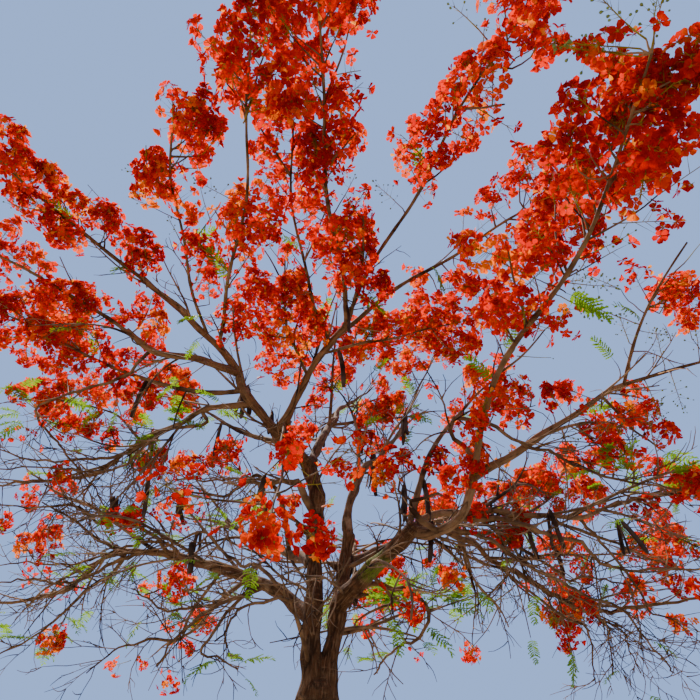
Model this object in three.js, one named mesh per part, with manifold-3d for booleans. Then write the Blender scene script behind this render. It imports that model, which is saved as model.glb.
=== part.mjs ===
// A flame tree in full blossom: a flared trunk, two stems that rise side by side, long arching boughs, and an
// umbrella of bare shoots that are sleeved in blossom. Lengths are in millimetres and angles in degrees.
// +X is to the right of someone who looks at the tree along +Y, and the ground is at z = 0.

import * as THREE from "three";
import { mergeVertices } from "three/addons/utils/BufferGeometryUtils.js";
import Module from "manifold-3d";

const wasm = await Module();
wasm.setup();

// The trunk: its half widths at breast height and under the fork, and its flare at the ground
const TRUNK_HEIGHT = 2350;
const TRUNK_WAIST = 164;
const FORK_HALF_WIDTH = 182;
const FORK_HALF_DEPTH = 132;
const FORK_BEGINS = 0.55;
const ROOT_FLARE = 112;
const ROOT_FLARE_HEIGHT = 300;
const ROOT_LOBES = 5;
const ROOT_LOBE_DEPTH = 0.22;
const ROOT_LOBE_HEIGHT = 420;
const TRUNK_BOW = 34;
const TRUNK_SIDES = 20;
const TRUNK_RINGS = 10;
const TRUNK_SHOULDER = 0.82;
const TRUNK_TOP_SHARE = 0.99;

// The two stems start side by side inside the top of the trunk
const STEM_FEET = { stem_west: [-80, 0, 2200], stem_east: [90, 0, 2200] };

// Every limb sways a little about its course
const AZIMUTH_SWAY = 5;
const RISE_SWAY = 4;
const AZIMUTH_WAVE = 11;
const RISE_WAVE = 12;
const LIMB_RINGS = 12;
const THIN_LIMB_RING_STEP = 2;
const SHOOT_RINGS = 10;
const SHOOT_RING_STEP = 2;
const THICK_LIMB = 115;
const THICK_LIMB_SIDES = 8;
const THIN_LIMB_SIDES = 6;
const LIMB_END_ROUNDING = 0.6;
const STEEP = 0.9;
const SEAT_GAP = 0.3;
const SEAT_SURPLUS = 1.2;

// The shoot that carries a mass, and the twigs that branch from it
const SHOOT_SIDES = 4;
const SHOOT_TIP_RADIUS = 9;
const TWIG_SPACING = 620;
const TWIG_LENGTH = 560;
const TWIG_LENGTH_RANGE = 0.5;
const TWIG_SIZES = [1, 0.7, 0.45];
const LAST_TWIG_SHARE = 0.92;
const TWIG_STAGGER = 0.7;
const TWIG_SPLAY = 44;
const TWIG_SPLAY_RANGE = 16;
const TWIG_TURN_RANGE = 50;
const TWIG_LIFT = 0.3;
const TWIG_RADIUS = 18;
const TWIG_NECK_RADIUS = 10;
const TWIG_CHECKS = [0.3, 0.6, 0.8, 1];
const GOLDEN_ANGLE = 137.5;
const TWIG_SEED_STEP = 1000;

// One leaf stands for a spray of blossom or of foliage, and the pods hang from the bare part of a shoot
const LEAF = { length: 460, width: 320, thickness: 170 };
const LEAF_SHOULDER = 0.14;
const LEAF_SPLAY = 55;
const LEAF_TURN = 40;
const TIP_LEAF_ROOT = 60;
const SIDE_LEAF_SHARES = [0.4, 0.75];
const POD = { length: 500, width: 64, thickness: 24 };
const POD_SHARES = [0.5, 0.85];
const POD_TILT = 0.12;

// Clearances between the spaces of two masses, and round limbs and other shoots
const SPACE_MARGIN = 24;
const LIMB_MARGIN = 18;
const LOWEST_LEAF = 2000;

// Each limb leaves its parent at a share of the parent's length. Its azimuth and its rise turn evenly through
// the angles listed, azimuth 0 being +X and 90 being +Y. Its diameters at its foot and its end are in thick.
const LIMBS = {
  stem_west: { azimuth: [120, 130, 150], rise: [85, 100, 75], length: 2350, thick: [190, 168] },
  stem_east: { azimuth: [50, 40, 30], rise: [90, 70, 85], length: 1550, thick: [166, 140] },
  bough_west_low: {
    from: "stem_west", share: 0.29, azimuth: [135, 200, 135], rise: [30, 25, -10],
    length: 3250, thick: [160, 50],
  },
  bough_west_rise: {
    from: "stem_west", share: 0.98, azimuth: [-125, -150, -160], rise: [20, 25, 75],
    length: 1450, thick: [150, 106],
  },
  bough_west_far: {
    from: "bough_west_rise", share: 0.97, azimuth: [-125, -170, -150], rise: [0, -30, 40],
    length: 1350, thick: [90, 56],
  },
  bough_southwest: {
    from: "bough_west_rise", share: 0.98, azimuth: [-120, -140, -125], rise: [25, 15, 10],
    length: 1500, thick: [90, 56],
  },
  bough_west_mid: {
    from: "bough_west_rise", share: 0.68, azimuth: [170, 150, 140], rise: [0, -10, -15],
    length: 2050, thick: [78, 44],
  },
  bough_centre: {
    from: "bough_west_rise", share: 0.4, azimuth: [-50, -70, -35], rise: [30, 45, 10],
    length: 1500, thick: [104, 76],
  },
  bough_north_high: {
    from: "stem_west", share: 0.98, azimuth: [70, 90, 65], rise: [55, 45, 40],
    length: 2850, thick: [126, 60],
  },
  bough_east_top: {
    from: "stem_east", share: 0.97, azimuth: [50, 50, 60], rise: [100, 0, 75],
    length: 2650, thick: [112, 50],
  },
  bough_east: {
    from: "stem_east", share: 0.52, azimuth: [-60, -45, -50], rise: [25, 15, 25],
    length: 1250, thick: [172, 150],
  },
  bough_east_rise: {
    from: "bough_east", share: 0.97, azimuth: [-35, -50, -65], rise: [-40, 30, 70],
    length: 950, thick: [96, 80],
  },
  bough_east_high: {
    from: "bough_east_rise", share: 0.97, azimuth: [-15, -25, 0], rise: [20, 35, 25],
    length: 1650, thick: [72, 40],
  },
  bough_east_mid: {
    from: "bough_east", share: 0.95, azimuth: [35, 25, -5], rise: [45, -30, 25],
    length: 2600, thick: [84, 38],
  },
  bough_east_low: {
    from: "bough_east", share: 0.93, azimuth: [55, 55, 55], rise: [30, -15, 5],
    length: 2700, thick: [84, 46],
  },
  bough_northwest: {
    from: "stem_west", share: 0.5, azimuth: [110, 140, 120], rise: [20, 30, 25],
    length: 3650, thick: [124, 50],
  },
  bough_north: {
    from: "stem_east", share: 0.62, azimuth: [90, 85, 85], rise: [20, 35, 25],
    length: 3450, thick: [116, 50],
  },
  bough_northeast: {
    from: "stem_east", share: 0.8, azimuth: [45, 60, 45], rise: [30, 30, 20],
    length: 3400, thick: [104, 48],
  },
};

// Each mass of blossom or leaves has one shoot, named like a limb. It is bare up to the share given, and pods
// counts what hangs from that bare part.
const MASSES = {
  blossom_south: {
    from: "bough_centre", share: 0.97, azimuth: [-95, -100, -85], rise: [0, 15, -10],
    length: 3000, thick: 64, bare: 0.25, pods: 0,
  },
  blossom_south_inner: {
    from: "bough_centre", share: 0.8, azimuth: [-110, -85], rise: [10, 20],
    length: 2250, thick: 48, bare: 0.35, pods: 2,
  },
  blossom_south_left: {
    from: "bough_southwest", share: 0.25, azimuth: [-70, -80], rise: [5, -10],
    length: 3450, thick: 52, bare: 0.2, pods: 0,
  },
  blossom_southwest_inner: {
    from: "bough_southwest", share: 0.35, azimuth: [-95, -75], rise: [10, -10],
    length: 2550, thick: 46, bare: 0.4, pods: 0,
  },
  blossom_centre: {
    from: "bough_centre", share: 0.5, azimuth: [-115, -80], rise: [10, 35],
    length: 1350, thick: 44, bare: 0.3, pods: 1,
  },
  blossom_south_right: {
    from: "bough_centre", share: 0.96, azimuth: [-75, -90], rise: [-15, 25],
    length: 1400, thick: 42, bare: 0.3, pods: 0,
  },
  blossom_south_east: {
    from: "bough_centre", share: 0.93, azimuth: [-65, -75], rise: [15, -20],
    length: 3200, thick: 54, bare: 0.5, pods: 1,
  },
  blossom_southeast: {
    from: "bough_centre", share: 0.85, azimuth: [-35, -45], rise: [20, -10],
    length: 2500, thick: 62, bare: 0.35, pods: 0,
  },
  blossom_centre_east: {
    from: "bough_centre", share: 0.7, azimuth: [-5, -10], rise: [10, 10],
    length: 1400, thick: 42, bare: 0.25, pods: 1,
  },
  blossom_east_near: {
    from: "bough_east_rise", share: 0.97, azimuth: [-95, -55, -95], rise: [25, 0, 15],
    length: 3300, thick: 72, bare: 0.3, pods: 0,
  },
  blossom_east_high_up: {
    from: "bough_east_high", share: 0.95, azimuth: [-85, -60], rise: [40, 25],
    length: 1300, thick: 40, bare: 0.45, pods: 0,
  },
  blossom_east_high: {
    from: "bough_east_high", share: 0.97, azimuth: [-15, -15], rise: [10, 10],
    length: 1550, thick: 42, bare: 0.25, pods: 0,
  },
  blossom_east_hanging: {
    from: "bough_east_high", share: 0.8, azimuth: [45, 35], rise: [-20, -5],
    length: 950, thick: 34, bare: 0.25, pods: 0,
  },
  blossom_east_inner: {
    from: "bough_east", share: 0.9, azimuth: [20, 5, 20], rise: [75, 60, 30],
    length: 2550, thick: 84, bare: 0.5, pods: 2,
  },
  blossom_east_mid: {
    from: "bough_east_mid", share: 0.96, azimuth: [0, 20], rise: [15, 25],
    length: 1100, thick: 40, bare: 0.25, pods: 0,
  },
  blossom_east_mid_up: {
    from: "bough_east_mid", share: 0.5, azimuth: [50, 35], rise: [10, 60],
    length: 2050, thick: 44, bare: 0.4, pods: 1,
  },
  blossom_east_low: {
    from: "bough_east_low", share: 0.96, azimuth: [5, 60, -5], rise: [-30, 10, 15],
    length: 2600, thick: 44, bare: 0.4, pods: 0,
  },
  blossom_east_low_up: {
    from: "bough_east_low", share: 0.8, azimuth: [0, 25], rise: [10, 0],
    length: 2150, thick: 44, bare: 0.4, pods: 0,
  },
  blossom_east_under: {
    from: "bough_east_low", share: 0.4, azimuth: [70, 80], rise: [-30, 10],
    length: 1550, thick: 40, bare: 0.35, pods: 0,
  },
  blossom_north_high: {
    from: "bough_north_high", share: 0.95, azimuth: [65, 65], rise: [40, 45],
    length: 1500, thick: 60, bare: 0.2, pods: 0,
  },
  blossom_top: {
    from: "bough_north_high", share: 0.4, azimuth: [-85, -75], rise: [60, 80],
    length: 1700, thick: 56, bare: 0.3, pods: 0,
  },
  blossom_northeast_high: {
    from: "bough_north_high", share: 0.45, azimuth: [40, 35], rise: [25, 25],
    length: 2600, thick: 60, bare: 0.4, pods: 1,
  },
  blossom_east_top: {
    from: "bough_east_top", share: 0.95, azimuth: [-5, 30], rise: [65, 65],
    length: 1400, thick: 50, bare: 0.3, pods: 0,
  },
  blossom_northwest_high: {
    from: "bough_west_rise", share: 0.25, azimuth: [140, 145], rise: [30, 40],
    length: 3700, thick: 80, bare: 0.5, pods: 2,
  },
  blossom_northwest: {
    from: "bough_northwest", share: 0.95, azimuth: [145, 135], rise: [15, 25],
    length: 1500, thick: 50, bare: 0.25, pods: 0,
  },
  blossom_northwest_back: {
    from: "bough_northwest", share: 0.7, azimuth: [90, 90], rise: [25, 30],
    length: 1900, thick: 48, bare: 0.4, pods: 0,
  },
  blossom_north: {
    from: "bough_north", share: 0.95, azimuth: [95, 85], rise: [15, 20],
    length: 1600, thick: 50, bare: 0.25, pods: 0,
  },
  blossom_north_low: {
    from: "bough_north", share: 0.6, azimuth: [70, 75], rise: [-15, -5],
    length: 2200, thick: 48, bare: 0.5, pods: 0,
  },
  blossom_northeast: {
    from: "bough_northeast", share: 0.95, azimuth: [40, 35], rise: [10, 15],
    length: 1550, thick: 48, bare: 0.25, pods: 0,
  },
  blossom_northeast_back: {
    from: "bough_northeast", share: 0.6, azimuth: [80, 70], rise: [25, 25],
    length: 2400, thick: 50, bare: 0.45, pods: 0,
  },
  blossom_northeast_low: {
    from: "bough_northeast", share: 0.5, azimuth: [50, 65], rise: [-15, -10],
    length: 2600, thick: 50, bare: 0.5, pods: 0,
  },
  blossom_west_low: {
    from: "bough_west_low", share: 0.96, azimuth: [175, 130], rise: [-20, -20],
    length: 1200, thick: 50, bare: 0.2, pods: 0,
  },
  blossom_west_low_back: {
    from: "bough_west_low", share: 0.3, azimuth: [125, 125], rise: [-15, 0],
    length: 2850, thick: 64, bare: 0.45, pods: 0,
  },
  blossom_west_low_front: {
    from: "bough_west_low", share: 0.6, azimuth: [-105, -145], rise: [50, 20],
    length: 650, thick: 38, bare: 0.3, pods: 0,
  },
  blossom_west_mid: {
    from: "bough_west_mid", share: 0.96, azimuth: [155, 180], rise: [-15, 10],
    length: 1750, thick: 42, bare: 0.3, pods: 0,
  },
  blossom_west_mid_up: {
    from: "bough_west_mid", share: 0.75, azimuth: [145, 170], rise: [50, 10],
    length: 1950, thick: 44, bare: 0.4, pods: 1,
  },
  blossom_west_over: {
    from: "bough_west_rise", share: 0.81, azimuth: [-180, -150, -165], rise: [-10, 25, 20],
    length: 2850, thick: 72, bare: 0.45, pods: 2,
  },
  blossom_west_far: {
    from: "bough_west_far", share: 0.95, azimuth: [-150, -150], rise: [25, 5],
    length: 2000, thick: 52, bare: 0.2, pods: 0,
  },
  blossom_southwest: {
    from: "bough_southwest", share: 0.95, azimuth: [-125, -115], rise: [0, 0],
    length: 1700, thick: 52, bare: 0.1, pods: 0,
  },
  blossom_front_low: {
    from: "bough_centre", share: 0.1, azimuth: [-80, -85], rise: [-45, -40],
    length: 2950, thick: 36, bare: 0.75, pods: 0,
  },
  leaves_low: {
    from: "stem_east", share: 0.35, azimuth: [45, 45], rise: [20, 15],
    length: 2300, thick: 50, bare: 0.35, pods: 0,
  },
};

const UP = new THREE.Vector3(0, 0, 1);
const radians = THREE.MathUtils.degToRad;
const mix = THREE.MathUtils.lerp;

// A small seeded generator, so that every build grows the same tree
function seeded(seed) {
  let state = seed >>> 0;
  return () => {
    state = (state + 0x6d2b79f5) >>> 0;
    let mixed = Math.imul(state ^ (state >>> 15), state | 1);
    mixed ^= mixed + Math.imul(mixed ^ (mixed >>> 7), mixed | 61);
    return ((mixed ^ (mixed >>> 14)) >>> 0) / 4294967296;
  };
}

// The value at a share of the way through two or three angles
function turned(angles, share) {
  if (angles.length === 2) return mix(angles[0], angles[1], share);
  const [first, middle, last] = angles;
  return mix(mix(first, middle, share), mix(middle, last, share), share);
}

// The course of a limb or shoot, as a list of evenly spaced points
function growPath(start, row, rings, seed) {
  const draw = seeded(seed);
  const azimuthPhase = 2 * Math.PI * draw();
  const risePhase = 2 * Math.PI * draw();
  const points = [start.clone()];
  for (let ring = 0; ring < rings; ring += 1) {
    const share = (ring + 0.5) / rings;
    const sway = AZIMUTH_SWAY * Math.sin(AZIMUTH_WAVE * share + azimuthPhase);
    const dip = RISE_SWAY * Math.sin(RISE_WAVE * share + risePhase);
    const azimuth = radians(turned(row.azimuth, share) + sway);
    const rise = radians(turned(row.rise, share) + dip);
    const heading = new THREE.Vector3(
      Math.cos(azimuth) * Math.cos(rise),
      Math.sin(azimuth) * Math.cos(rise),
      Math.sin(rise),
    );
    points.push(points[ring].clone().addScaledVector(heading, row.length / rings));
  }
  return points;
}

function pointAt(path, share) {
  const place = share * (path.length - 1);
  const index = Math.min(Math.floor(place), path.length - 2);
  return path[index].clone().lerp(path[index + 1], place - index);
}

function headingAt(path, share) {
  const index = Math.min(Math.floor(share * (path.length - 1)), path.length - 2);
  return path[index + 1].clone().sub(path[index]).normalize();
}

// The nearest that a polyline comes to a point, and the share of its length where it does
function nearest(path, point) {
  let best = { distance: Infinity, share: 0 };
  for (let index = 0; index < path.length - 1; index += 1) {
    const line = new THREE.Line3(path[index], path[index + 1]);
    const along = line.closestPointToPointParameter(point, true);
    const distance = line.at(along, new THREE.Vector3()).distanceTo(point);
    if (distance < best.distance) best = { distance, share: (index + along) / (path.length - 1) };
  }
  return best;
}

// A three.js geometry with its shared vertices merged, so that it is one closed surface
function closed(geometry) {
  geometry.deleteAttribute("normal");
  geometry.deleteAttribute("uv");
  return mergeVertices(geometry, 1e-5);
}

function solidFrom(geometry) {
  return new wasm.Manifold(
    new wasm.Mesh({
      numProp: 3,
      vertProperties: new Float32Array(geometry.getAttribute("position").array),
      triVerts: new Uint32Array(geometry.index.array),
    }),
  );
}

// A closed tube: a unit cylinder whose rings are carried to the points of a path
function tube(path, radiusAt, sides) {
  const rings = path.length - 1;
  const geometry = closed(new THREE.CylinderGeometry(1, 1, 1, sides, rings));
  const position = geometry.getAttribute("position");
  const across = [];
  const outward = [];
  let previous = Math.abs(headingAt(path, 0).z) > STEEP ? new THREE.Vector3(1, 0, 0) : UP;
  for (let ring = 0; ring <= rings; ring += 1) {
    const before = path[Math.max(ring - 1, 0)];
    const after = path[Math.min(ring + 1, rings)];
    const along = after.clone().sub(before).normalize();
    const side = previous.clone().addScaledVector(along, -previous.dot(along)).normalize();
    across.push(side);
    outward.push(side.clone().cross(along));
    previous = side;
  }
  for (let vertex = 0; vertex < position.count; vertex += 1) {
    const ring = Math.round((position.getY(vertex) + 0.5) * rings);
    const radius = radiusAt(ring / rings);
    const point = path[ring].clone();
    point.addScaledVector(across[ring], position.getX(vertex) * radius);
    point.addScaledVector(outward[ring], position.getZ(vertex) * radius);
    position.setXYZ(vertex, point.x, point.y, point.z);
  }
  return solidFrom(geometry);
}

// The same tube with the seat's gap added all round and at its end
function grownTube(path, radiusAt, sides) {
  const gap = SEAT_GAP / Math.cos(Math.PI / sides);
  const longer = path.slice(0, -1);
  longer.push(pointAt(path, 1).addScaledVector(headingAt(path, 1), 2 * gap));
  return tube(longer, (share) => radiusAt(share) + SEAT_SURPLUS * gap, sides);
}

// The trunk: lobed at the root flare, round at breast height, and wider than deep under the fork
function trunkSolid(grow) {
  const geometry = closed(new THREE.CylinderGeometry(1, 1, 1, TRUNK_SIDES, TRUNK_RINGS));
  const position = geometry.getAttribute("position");
  for (let vertex = 0; vertex < position.count; vertex += 1) {
    const share = position.getY(vertex) + 0.5;
    const height = share * TRUNK_HEIGHT;
    const angle = Math.atan2(position.getZ(vertex), position.getX(vertex));
    const toFork = THREE.MathUtils.smoothstep(share, FORK_BEGINS, 1);
    const lobe = 1 + ROOT_LOBE_DEPTH * Math.cos(ROOT_LOBES * angle) * Math.exp(-height / ROOT_LOBE_HEIGHT);
    const flare = ROOT_FLARE * Math.exp(-height / ROOT_FLARE_HEIGHT);
    const shoulder = share > TRUNK_TOP_SHARE ? TRUNK_SHOULDER : 1;
    const halfWidth = ((mix(TRUNK_WAIST, FORK_HALF_WIDTH, toFork) + flare) * lobe + grow) * shoulder;
    const halfDepth = ((mix(TRUNK_WAIST, FORK_HALF_DEPTH, toFork) + flare) * lobe + grow) * shoulder;
    position.setXYZ(
      vertex,
      position.getX(vertex) * halfWidth + TRUNK_BOW * Math.sin(Math.PI * share),
      -position.getZ(vertex) * halfDepth,
      share > TRUNK_TOP_SHARE ? height + grow : height,
    );
  }
  return solidFrom(geometry);
}

// Keeps the largest body: a sealed hollow is filled and a loose scrap is dropped
function wholeBody(solid) {
  const bodies = solid.decompose();
  return bodies.reduce((best, body) => (body.volume() > best.volume() ? body : best));
}

// Limbs: each is cut 0.3 mm clear of the trunk and of the limbs that came before it
const trunk = trunkSolid(0);
const limbs = new Map();
const grownLimbs = [trunkSolid(SEAT_GAP)];
let nextSeed = 1;

for (const [name, row] of Object.entries(LIMBS)) {
  const parent = limbs.get(row.from);
  const start = parent ? pointAt(parent.path, row.share) : new THREE.Vector3(...STEM_FEET[name]);
  const path = growPath(start, row, LIMB_RINGS, nextSeed);
  const taper = (share) => {
    const rounding = share === 1 ? LIMB_END_ROUNDING : 1;
    return (mix(row.thick[0], row.thick[1], share) / 2) * rounding;
  };
  const isThick = row.thick[0] > THICK_LIMB;
  const sides = isThick ? THICK_LIMB_SIDES : THIN_LIMB_SIDES;
  const course = path.filter((_, ring) => isThick || ring % THIN_LIMB_RING_STEP === 0);
  const cut = grownLimbs.reduce((solid, grown) => solid.subtract(grown), tube(course, taper, sides));
  grownLimbs.push(grownTube(course, taper, sides));
  limbs.set(name, { name, path, taper, solid: wholeBody(cut) });
  nextSeed += 1;
}

// Masses: the course of every shoot is settled first, because each mass keeps to the space round its own
const masses = [];

for (const [name, row] of Object.entries(MASSES)) {
  const path = growPath(pointAt(limbs.get(row.from).path, row.share), row, SHOOT_RINGS, nextSeed);
  const taper = (share) => mix(row.thick / 2, SHOOT_TIP_RADIUS, share);
  const leafy = path.filter((_, ring) => ring / SHOOT_RINGS >= row.bare - 0.01);
  masses.push({ name, row, path, taper, leafy, seed: nextSeed });
  nextSeed += 1;
}

// Whether a point lies in the space of its own mass, and a reach clear of the limbs and of the other shoots
function isClear(mass, point, reach) {
  if (point.z - reach < LOWEST_LEAF) return false;
  const own = nearest(mass.leafy, point).distance;
  for (const other of masses) {
    if (other === mass) continue;
    if (nearest(other.leafy, point).distance < own + SPACE_MARGIN) return false;
    const shoot = nearest(other.path, point);
    if (shoot.distance < other.taper(shoot.share) + reach + LIMB_MARGIN) return false;
  }
  for (const limb of limbs.values()) {
    const near = nearest(limb.path, point);
    if (near.distance < limb.taper(near.share) + reach + LIMB_MARGIN) return false;
  }
  return true;
}

// How far along and how far to each side a leaf's corners lie, as parts of its length, width and thickness
const LEAF_CORNERS = [
  [0.5 + LEAF_SHOULDER, 0.5, 0],
  [0.5 + LEAF_SHOULDER, -0.5, 0],
  [0.5 + LEAF_SHOULDER, 0, 0.5],
  [0.5 + LEAF_SHOULDER, 0, -0.5],
  [1, 0, 0],
];

// The directions of a leaf: along it, across its width, and through its thickness
function leafAxes(along, roll) {
  const width = new THREE.Vector3().crossVectors(UP, along).normalize().applyAxisAngle(along, roll);
  return { along, width, thickness: new THREE.Vector3().crossVectors(along, width) };
}

function leafPoint(size, root, axes, [far, wide, thick]) {
  const point = root.clone().addScaledVector(axes.along, far * size.length);
  point.addScaledVector(axes.width, wide * size.width);
  return point.addScaledVector(axes.thickness, thick * size.thickness);
}

function leafIsClear(mass, size, root, axes) {
  const belly = leafPoint(size, root, axes, [0.5 + LEAF_SHOULDER, 0, 0]);
  const corners = LEAF_CORNERS.every((corner) => isClear(mass, leafPoint(size, root, axes, corner), 0));
  return corners && isClear(mass, belly, size.thickness / 2);
}

// A leaf or pod of eight faces, widest a little past its middle. Its root is sunk in the twig.
function growLeaf(mass, size, root, along, roll) {
  const axes = leafAxes(along, roll);
  if (!leafIsClear(mass, size, root, axes)) return null;
  const geometry = closed(new THREE.OctahedronGeometry(1));
  const position = geometry.getAttribute("position");
  for (let vertex = 0; vertex < position.count; vertex += 1) {
    const [x, y, z] = [position.getX(vertex), position.getY(vertex), position.getZ(vertex)];
    const shoulder = Math.abs(x) < 0.5 ? LEAF_SHOULDER : 0;
    const point = leafPoint(size, root, axes, [(1 + x) / 2 + shoulder, y / 2, z / 2]);
    position.setXYZ(vertex, point.x, point.y, point.z);
  }
  return solidFrom(geometry);
}

// A direction turned away from a heading by splay, on the side that around gives
function splayed(heading, splay, around) {
  const side = new THREE.Vector3().crossVectors(UP, heading).normalize().applyAxisAngle(heading, around);
  return heading.clone().multiplyScalar(Math.cos(splay)).addScaledVector(side, Math.sin(splay));
}

// A twig bends up towards the light. One that would leave its space is made shorter, or skipped.
function growTwig(mass, start, heading, length) {
  const along = heading.clone().addScaledVector(UP, TWIG_LIFT).normalize();
  for (const size of TWIG_SIZES) {
    const twig = [start.clone(), start.clone().addScaledVector(along, length * size)];
    if (TWIG_CHECKS.every((share) => isClear(mass, pointAt(twig, share), TWIG_RADIUS))) return twig;
  }
  return null;
}

// A twig of four sides that swells into the leaf at its end: a cone with rings at its foot, neck and shoulder
function twigSolid(twig, axes, isLeafy) {
  const geometry = closed(new THREE.ConeGeometry(1, 1, 4, 3));
  const position = geometry.getAttribute("position");
  const neck = twig[0].distanceTo(twig[1]);
  const leafLength = isLeafy ? LEAF.length : 3 * TWIG_RADIUS;
  const wide = isLeafy ? LEAF.width / 2 : TWIG_NECK_RADIUS;
  const thick = isLeafy ? LEAF.thickness / 2 : TWIG_NECK_RADIUS;
  const rings = [
    { far: 0, wide: TWIG_RADIUS, thick: TWIG_RADIUS },
    { far: neck, wide: TWIG_NECK_RADIUS, thick: TWIG_NECK_RADIUS },
    { far: neck + leafLength * (0.5 + LEAF_SHOULDER), wide, thick },
    { far: neck + leafLength, wide: 0, thick: 0 },
  ];
  for (let vertex = 0; vertex < position.count; vertex += 1) {
    const ring = rings[Math.round((position.getY(vertex) + 0.5) * 3)];
    const angle = Math.atan2(position.getZ(vertex), position.getX(vertex));
    const reach = Math.hypot(position.getX(vertex), position.getZ(vertex)) > 1e-6 ? 1 : 0;
    const point = twig[0].clone().addScaledVector(axes.along, ring.far);
    point.addScaledVector(axes.width, reach * ring.wide * Math.cos(angle));
    point.addScaledVector(axes.thickness, -reach * ring.thick * Math.sin(angle));
    position.setXYZ(vertex, point.x, point.y, point.z);
  }
  return solidFrom(geometry);
}

// A mass of blossom: its shoot, its twigs and their leaves in one body, 0.3 mm clear of its bough and of the
// shoots that start beside it
const grownShoots = [];

function growMass(mass) {
  const draw = seeded(mass.seed * TWIG_SEED_STEP);
  const { row, path } = mass;
  const course = path.filter((_, ring) => ring % SHOOT_RING_STEP === 0);
  const pieces = [tube(course, mass.taper, SHOOT_SIDES)];
  const twigCount = Math.max(2, Math.round((row.length * (1 - row.bare)) / TWIG_SPACING));
  for (let index = 0; index < twigCount; index += 1) {
    const share = mix(row.bare, LAST_TWIG_SHARE, (index + TWIG_STAGGER * draw()) / twigCount);
    const around = radians(GOLDEN_ANGLE * index + TWIG_TURN_RANGE * draw());
    const splay = radians(TWIG_SPLAY + TWIG_SPLAY_RANGE * (draw() - 0.5));
    const length = TWIG_LENGTH * (1 + TWIG_LENGTH_RANGE * (draw() - 0.5));
    const heading = splayed(headingAt(path, share), splay, around);
    const twig = growTwig(mass, pointAt(path, share), heading, length);
    const tipRoll = Math.PI * draw();
    const sideRolls = SIDE_LEAF_SHARES.map(() => [Math.PI * draw(), draw() - 0.5]);
    if (!twig) continue;
    const axes = leafAxes(headingAt(twig, 0), tipRoll);
    pieces.push(twigSolid(twig, axes, leafIsClear(mass, LEAF, twig[1], axes)));
    SIDE_LEAF_SHARES.forEach((leafShare, side) => {
      const [roll, turn] = sideRolls[side];
      const along = splayed(axes.along, radians(LEAF_SPLAY), Math.PI * side + radians(LEAF_TURN) * turn);
      const sideLeaf = growLeaf(mass, LEAF, pointAt(twig, leafShare), along, roll);
      if (sideLeaf) pieces.push(sideLeaf);
    });
  }
  const tip = headingAt(path, 1);
  const tipRoot = pointAt(path, 1).addScaledVector(tip, -TIP_LEAF_ROOT);
  const lastLeaf = growLeaf(mass, LEAF, tipRoot, tip, Math.PI * draw());
  if (lastLeaf) pieces.push(lastLeaf);
  for (const podShare of POD_SHARES.slice(0, row.pods)) {
    const share = podShare * row.bare;
    const hanging = headingAt(path, share).multiplyScalar(POD_TILT).addScaledVector(UP, -1).normalize();
    const pod = growLeaf(mass, POD, pointAt(path, share), hanging, Math.PI * draw());
    if (pod) pieces.push(pod);
  }
  const fused = wasm.Manifold.union(pieces);
  const cut = [...grownLimbs, ...grownShoots].reduce((solid, grown) => solid.subtract(grown), fused);
  grownShoots.push(grownTube(course, mass.taper, SHOOT_SIDES));
  return wholeBody(cut);
}

// Materials, in the colours of the living tree
const bark = new THREE.MeshStandardMaterial({ name: "bark", color: 0x5b4636, roughness: 0.92 });
const blossom = new THREE.MeshStandardMaterial({ name: "blossom", color: 0xd91408, roughness: 0.6 });
const leaf = new THREE.MeshStandardMaterial({ name: "leaf", color: 0x5f8f24, roughness: 0.65 });

// A named mesh that stands at its own foot
function place(name, solid, foot, material) {
  const made = solid.getMesh();
  const geometry = new THREE.BufferGeometry();
  geometry.setAttribute("position", new THREE.BufferAttribute(new Float32Array(made.vertProperties), 3));
  geometry.setIndex(new THREE.BufferAttribute(new Uint32Array(made.triVerts), 1));
  geometry.translate(-foot.x, -foot.y, -foot.z);
  const mesh = new THREE.Mesh(geometry, material);
  mesh.name = name;
  mesh.position.copy(foot);
  return mesh;
}

const tree = new THREE.Group();
const wood = new THREE.Group();
const crown = new THREE.Group();
wood.add(place("trunk", trunk, new THREE.Vector3(), bark));
for (const limb of limbs.values()) wood.add(place(limb.name, limb.solid, limb.path[0], bark));
for (const mass of masses) {
  const material = mass.name.startsWith("leaves") ? leaf : blossom;
  crown.add(place(mass.name, growMass(mass), mass.path[0], material));
}
tree.add(wood, crown);

export default tree;
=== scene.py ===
import math

import bpy
import numpy as np
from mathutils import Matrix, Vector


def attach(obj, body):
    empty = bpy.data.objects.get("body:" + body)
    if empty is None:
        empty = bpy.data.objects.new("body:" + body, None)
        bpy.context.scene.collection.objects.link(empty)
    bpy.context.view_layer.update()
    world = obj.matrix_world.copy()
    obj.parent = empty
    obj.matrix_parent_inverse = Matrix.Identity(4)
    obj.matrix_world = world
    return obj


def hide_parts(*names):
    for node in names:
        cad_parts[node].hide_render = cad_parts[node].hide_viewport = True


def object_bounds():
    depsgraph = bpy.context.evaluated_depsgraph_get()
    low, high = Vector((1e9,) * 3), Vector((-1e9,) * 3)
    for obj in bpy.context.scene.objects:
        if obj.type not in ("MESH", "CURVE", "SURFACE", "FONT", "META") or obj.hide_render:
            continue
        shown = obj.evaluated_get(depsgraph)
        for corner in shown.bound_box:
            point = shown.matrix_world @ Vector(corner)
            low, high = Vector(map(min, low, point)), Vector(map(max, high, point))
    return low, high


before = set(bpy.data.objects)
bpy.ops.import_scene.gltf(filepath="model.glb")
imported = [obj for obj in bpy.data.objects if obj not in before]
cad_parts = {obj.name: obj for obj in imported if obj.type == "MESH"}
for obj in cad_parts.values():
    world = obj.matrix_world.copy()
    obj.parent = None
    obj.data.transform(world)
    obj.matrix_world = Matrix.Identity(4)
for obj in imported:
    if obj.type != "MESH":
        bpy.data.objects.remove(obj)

cadLow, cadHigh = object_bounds()
bpy.ops.object.select_all(action="DESELECT")
print("frame loaded")

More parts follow.
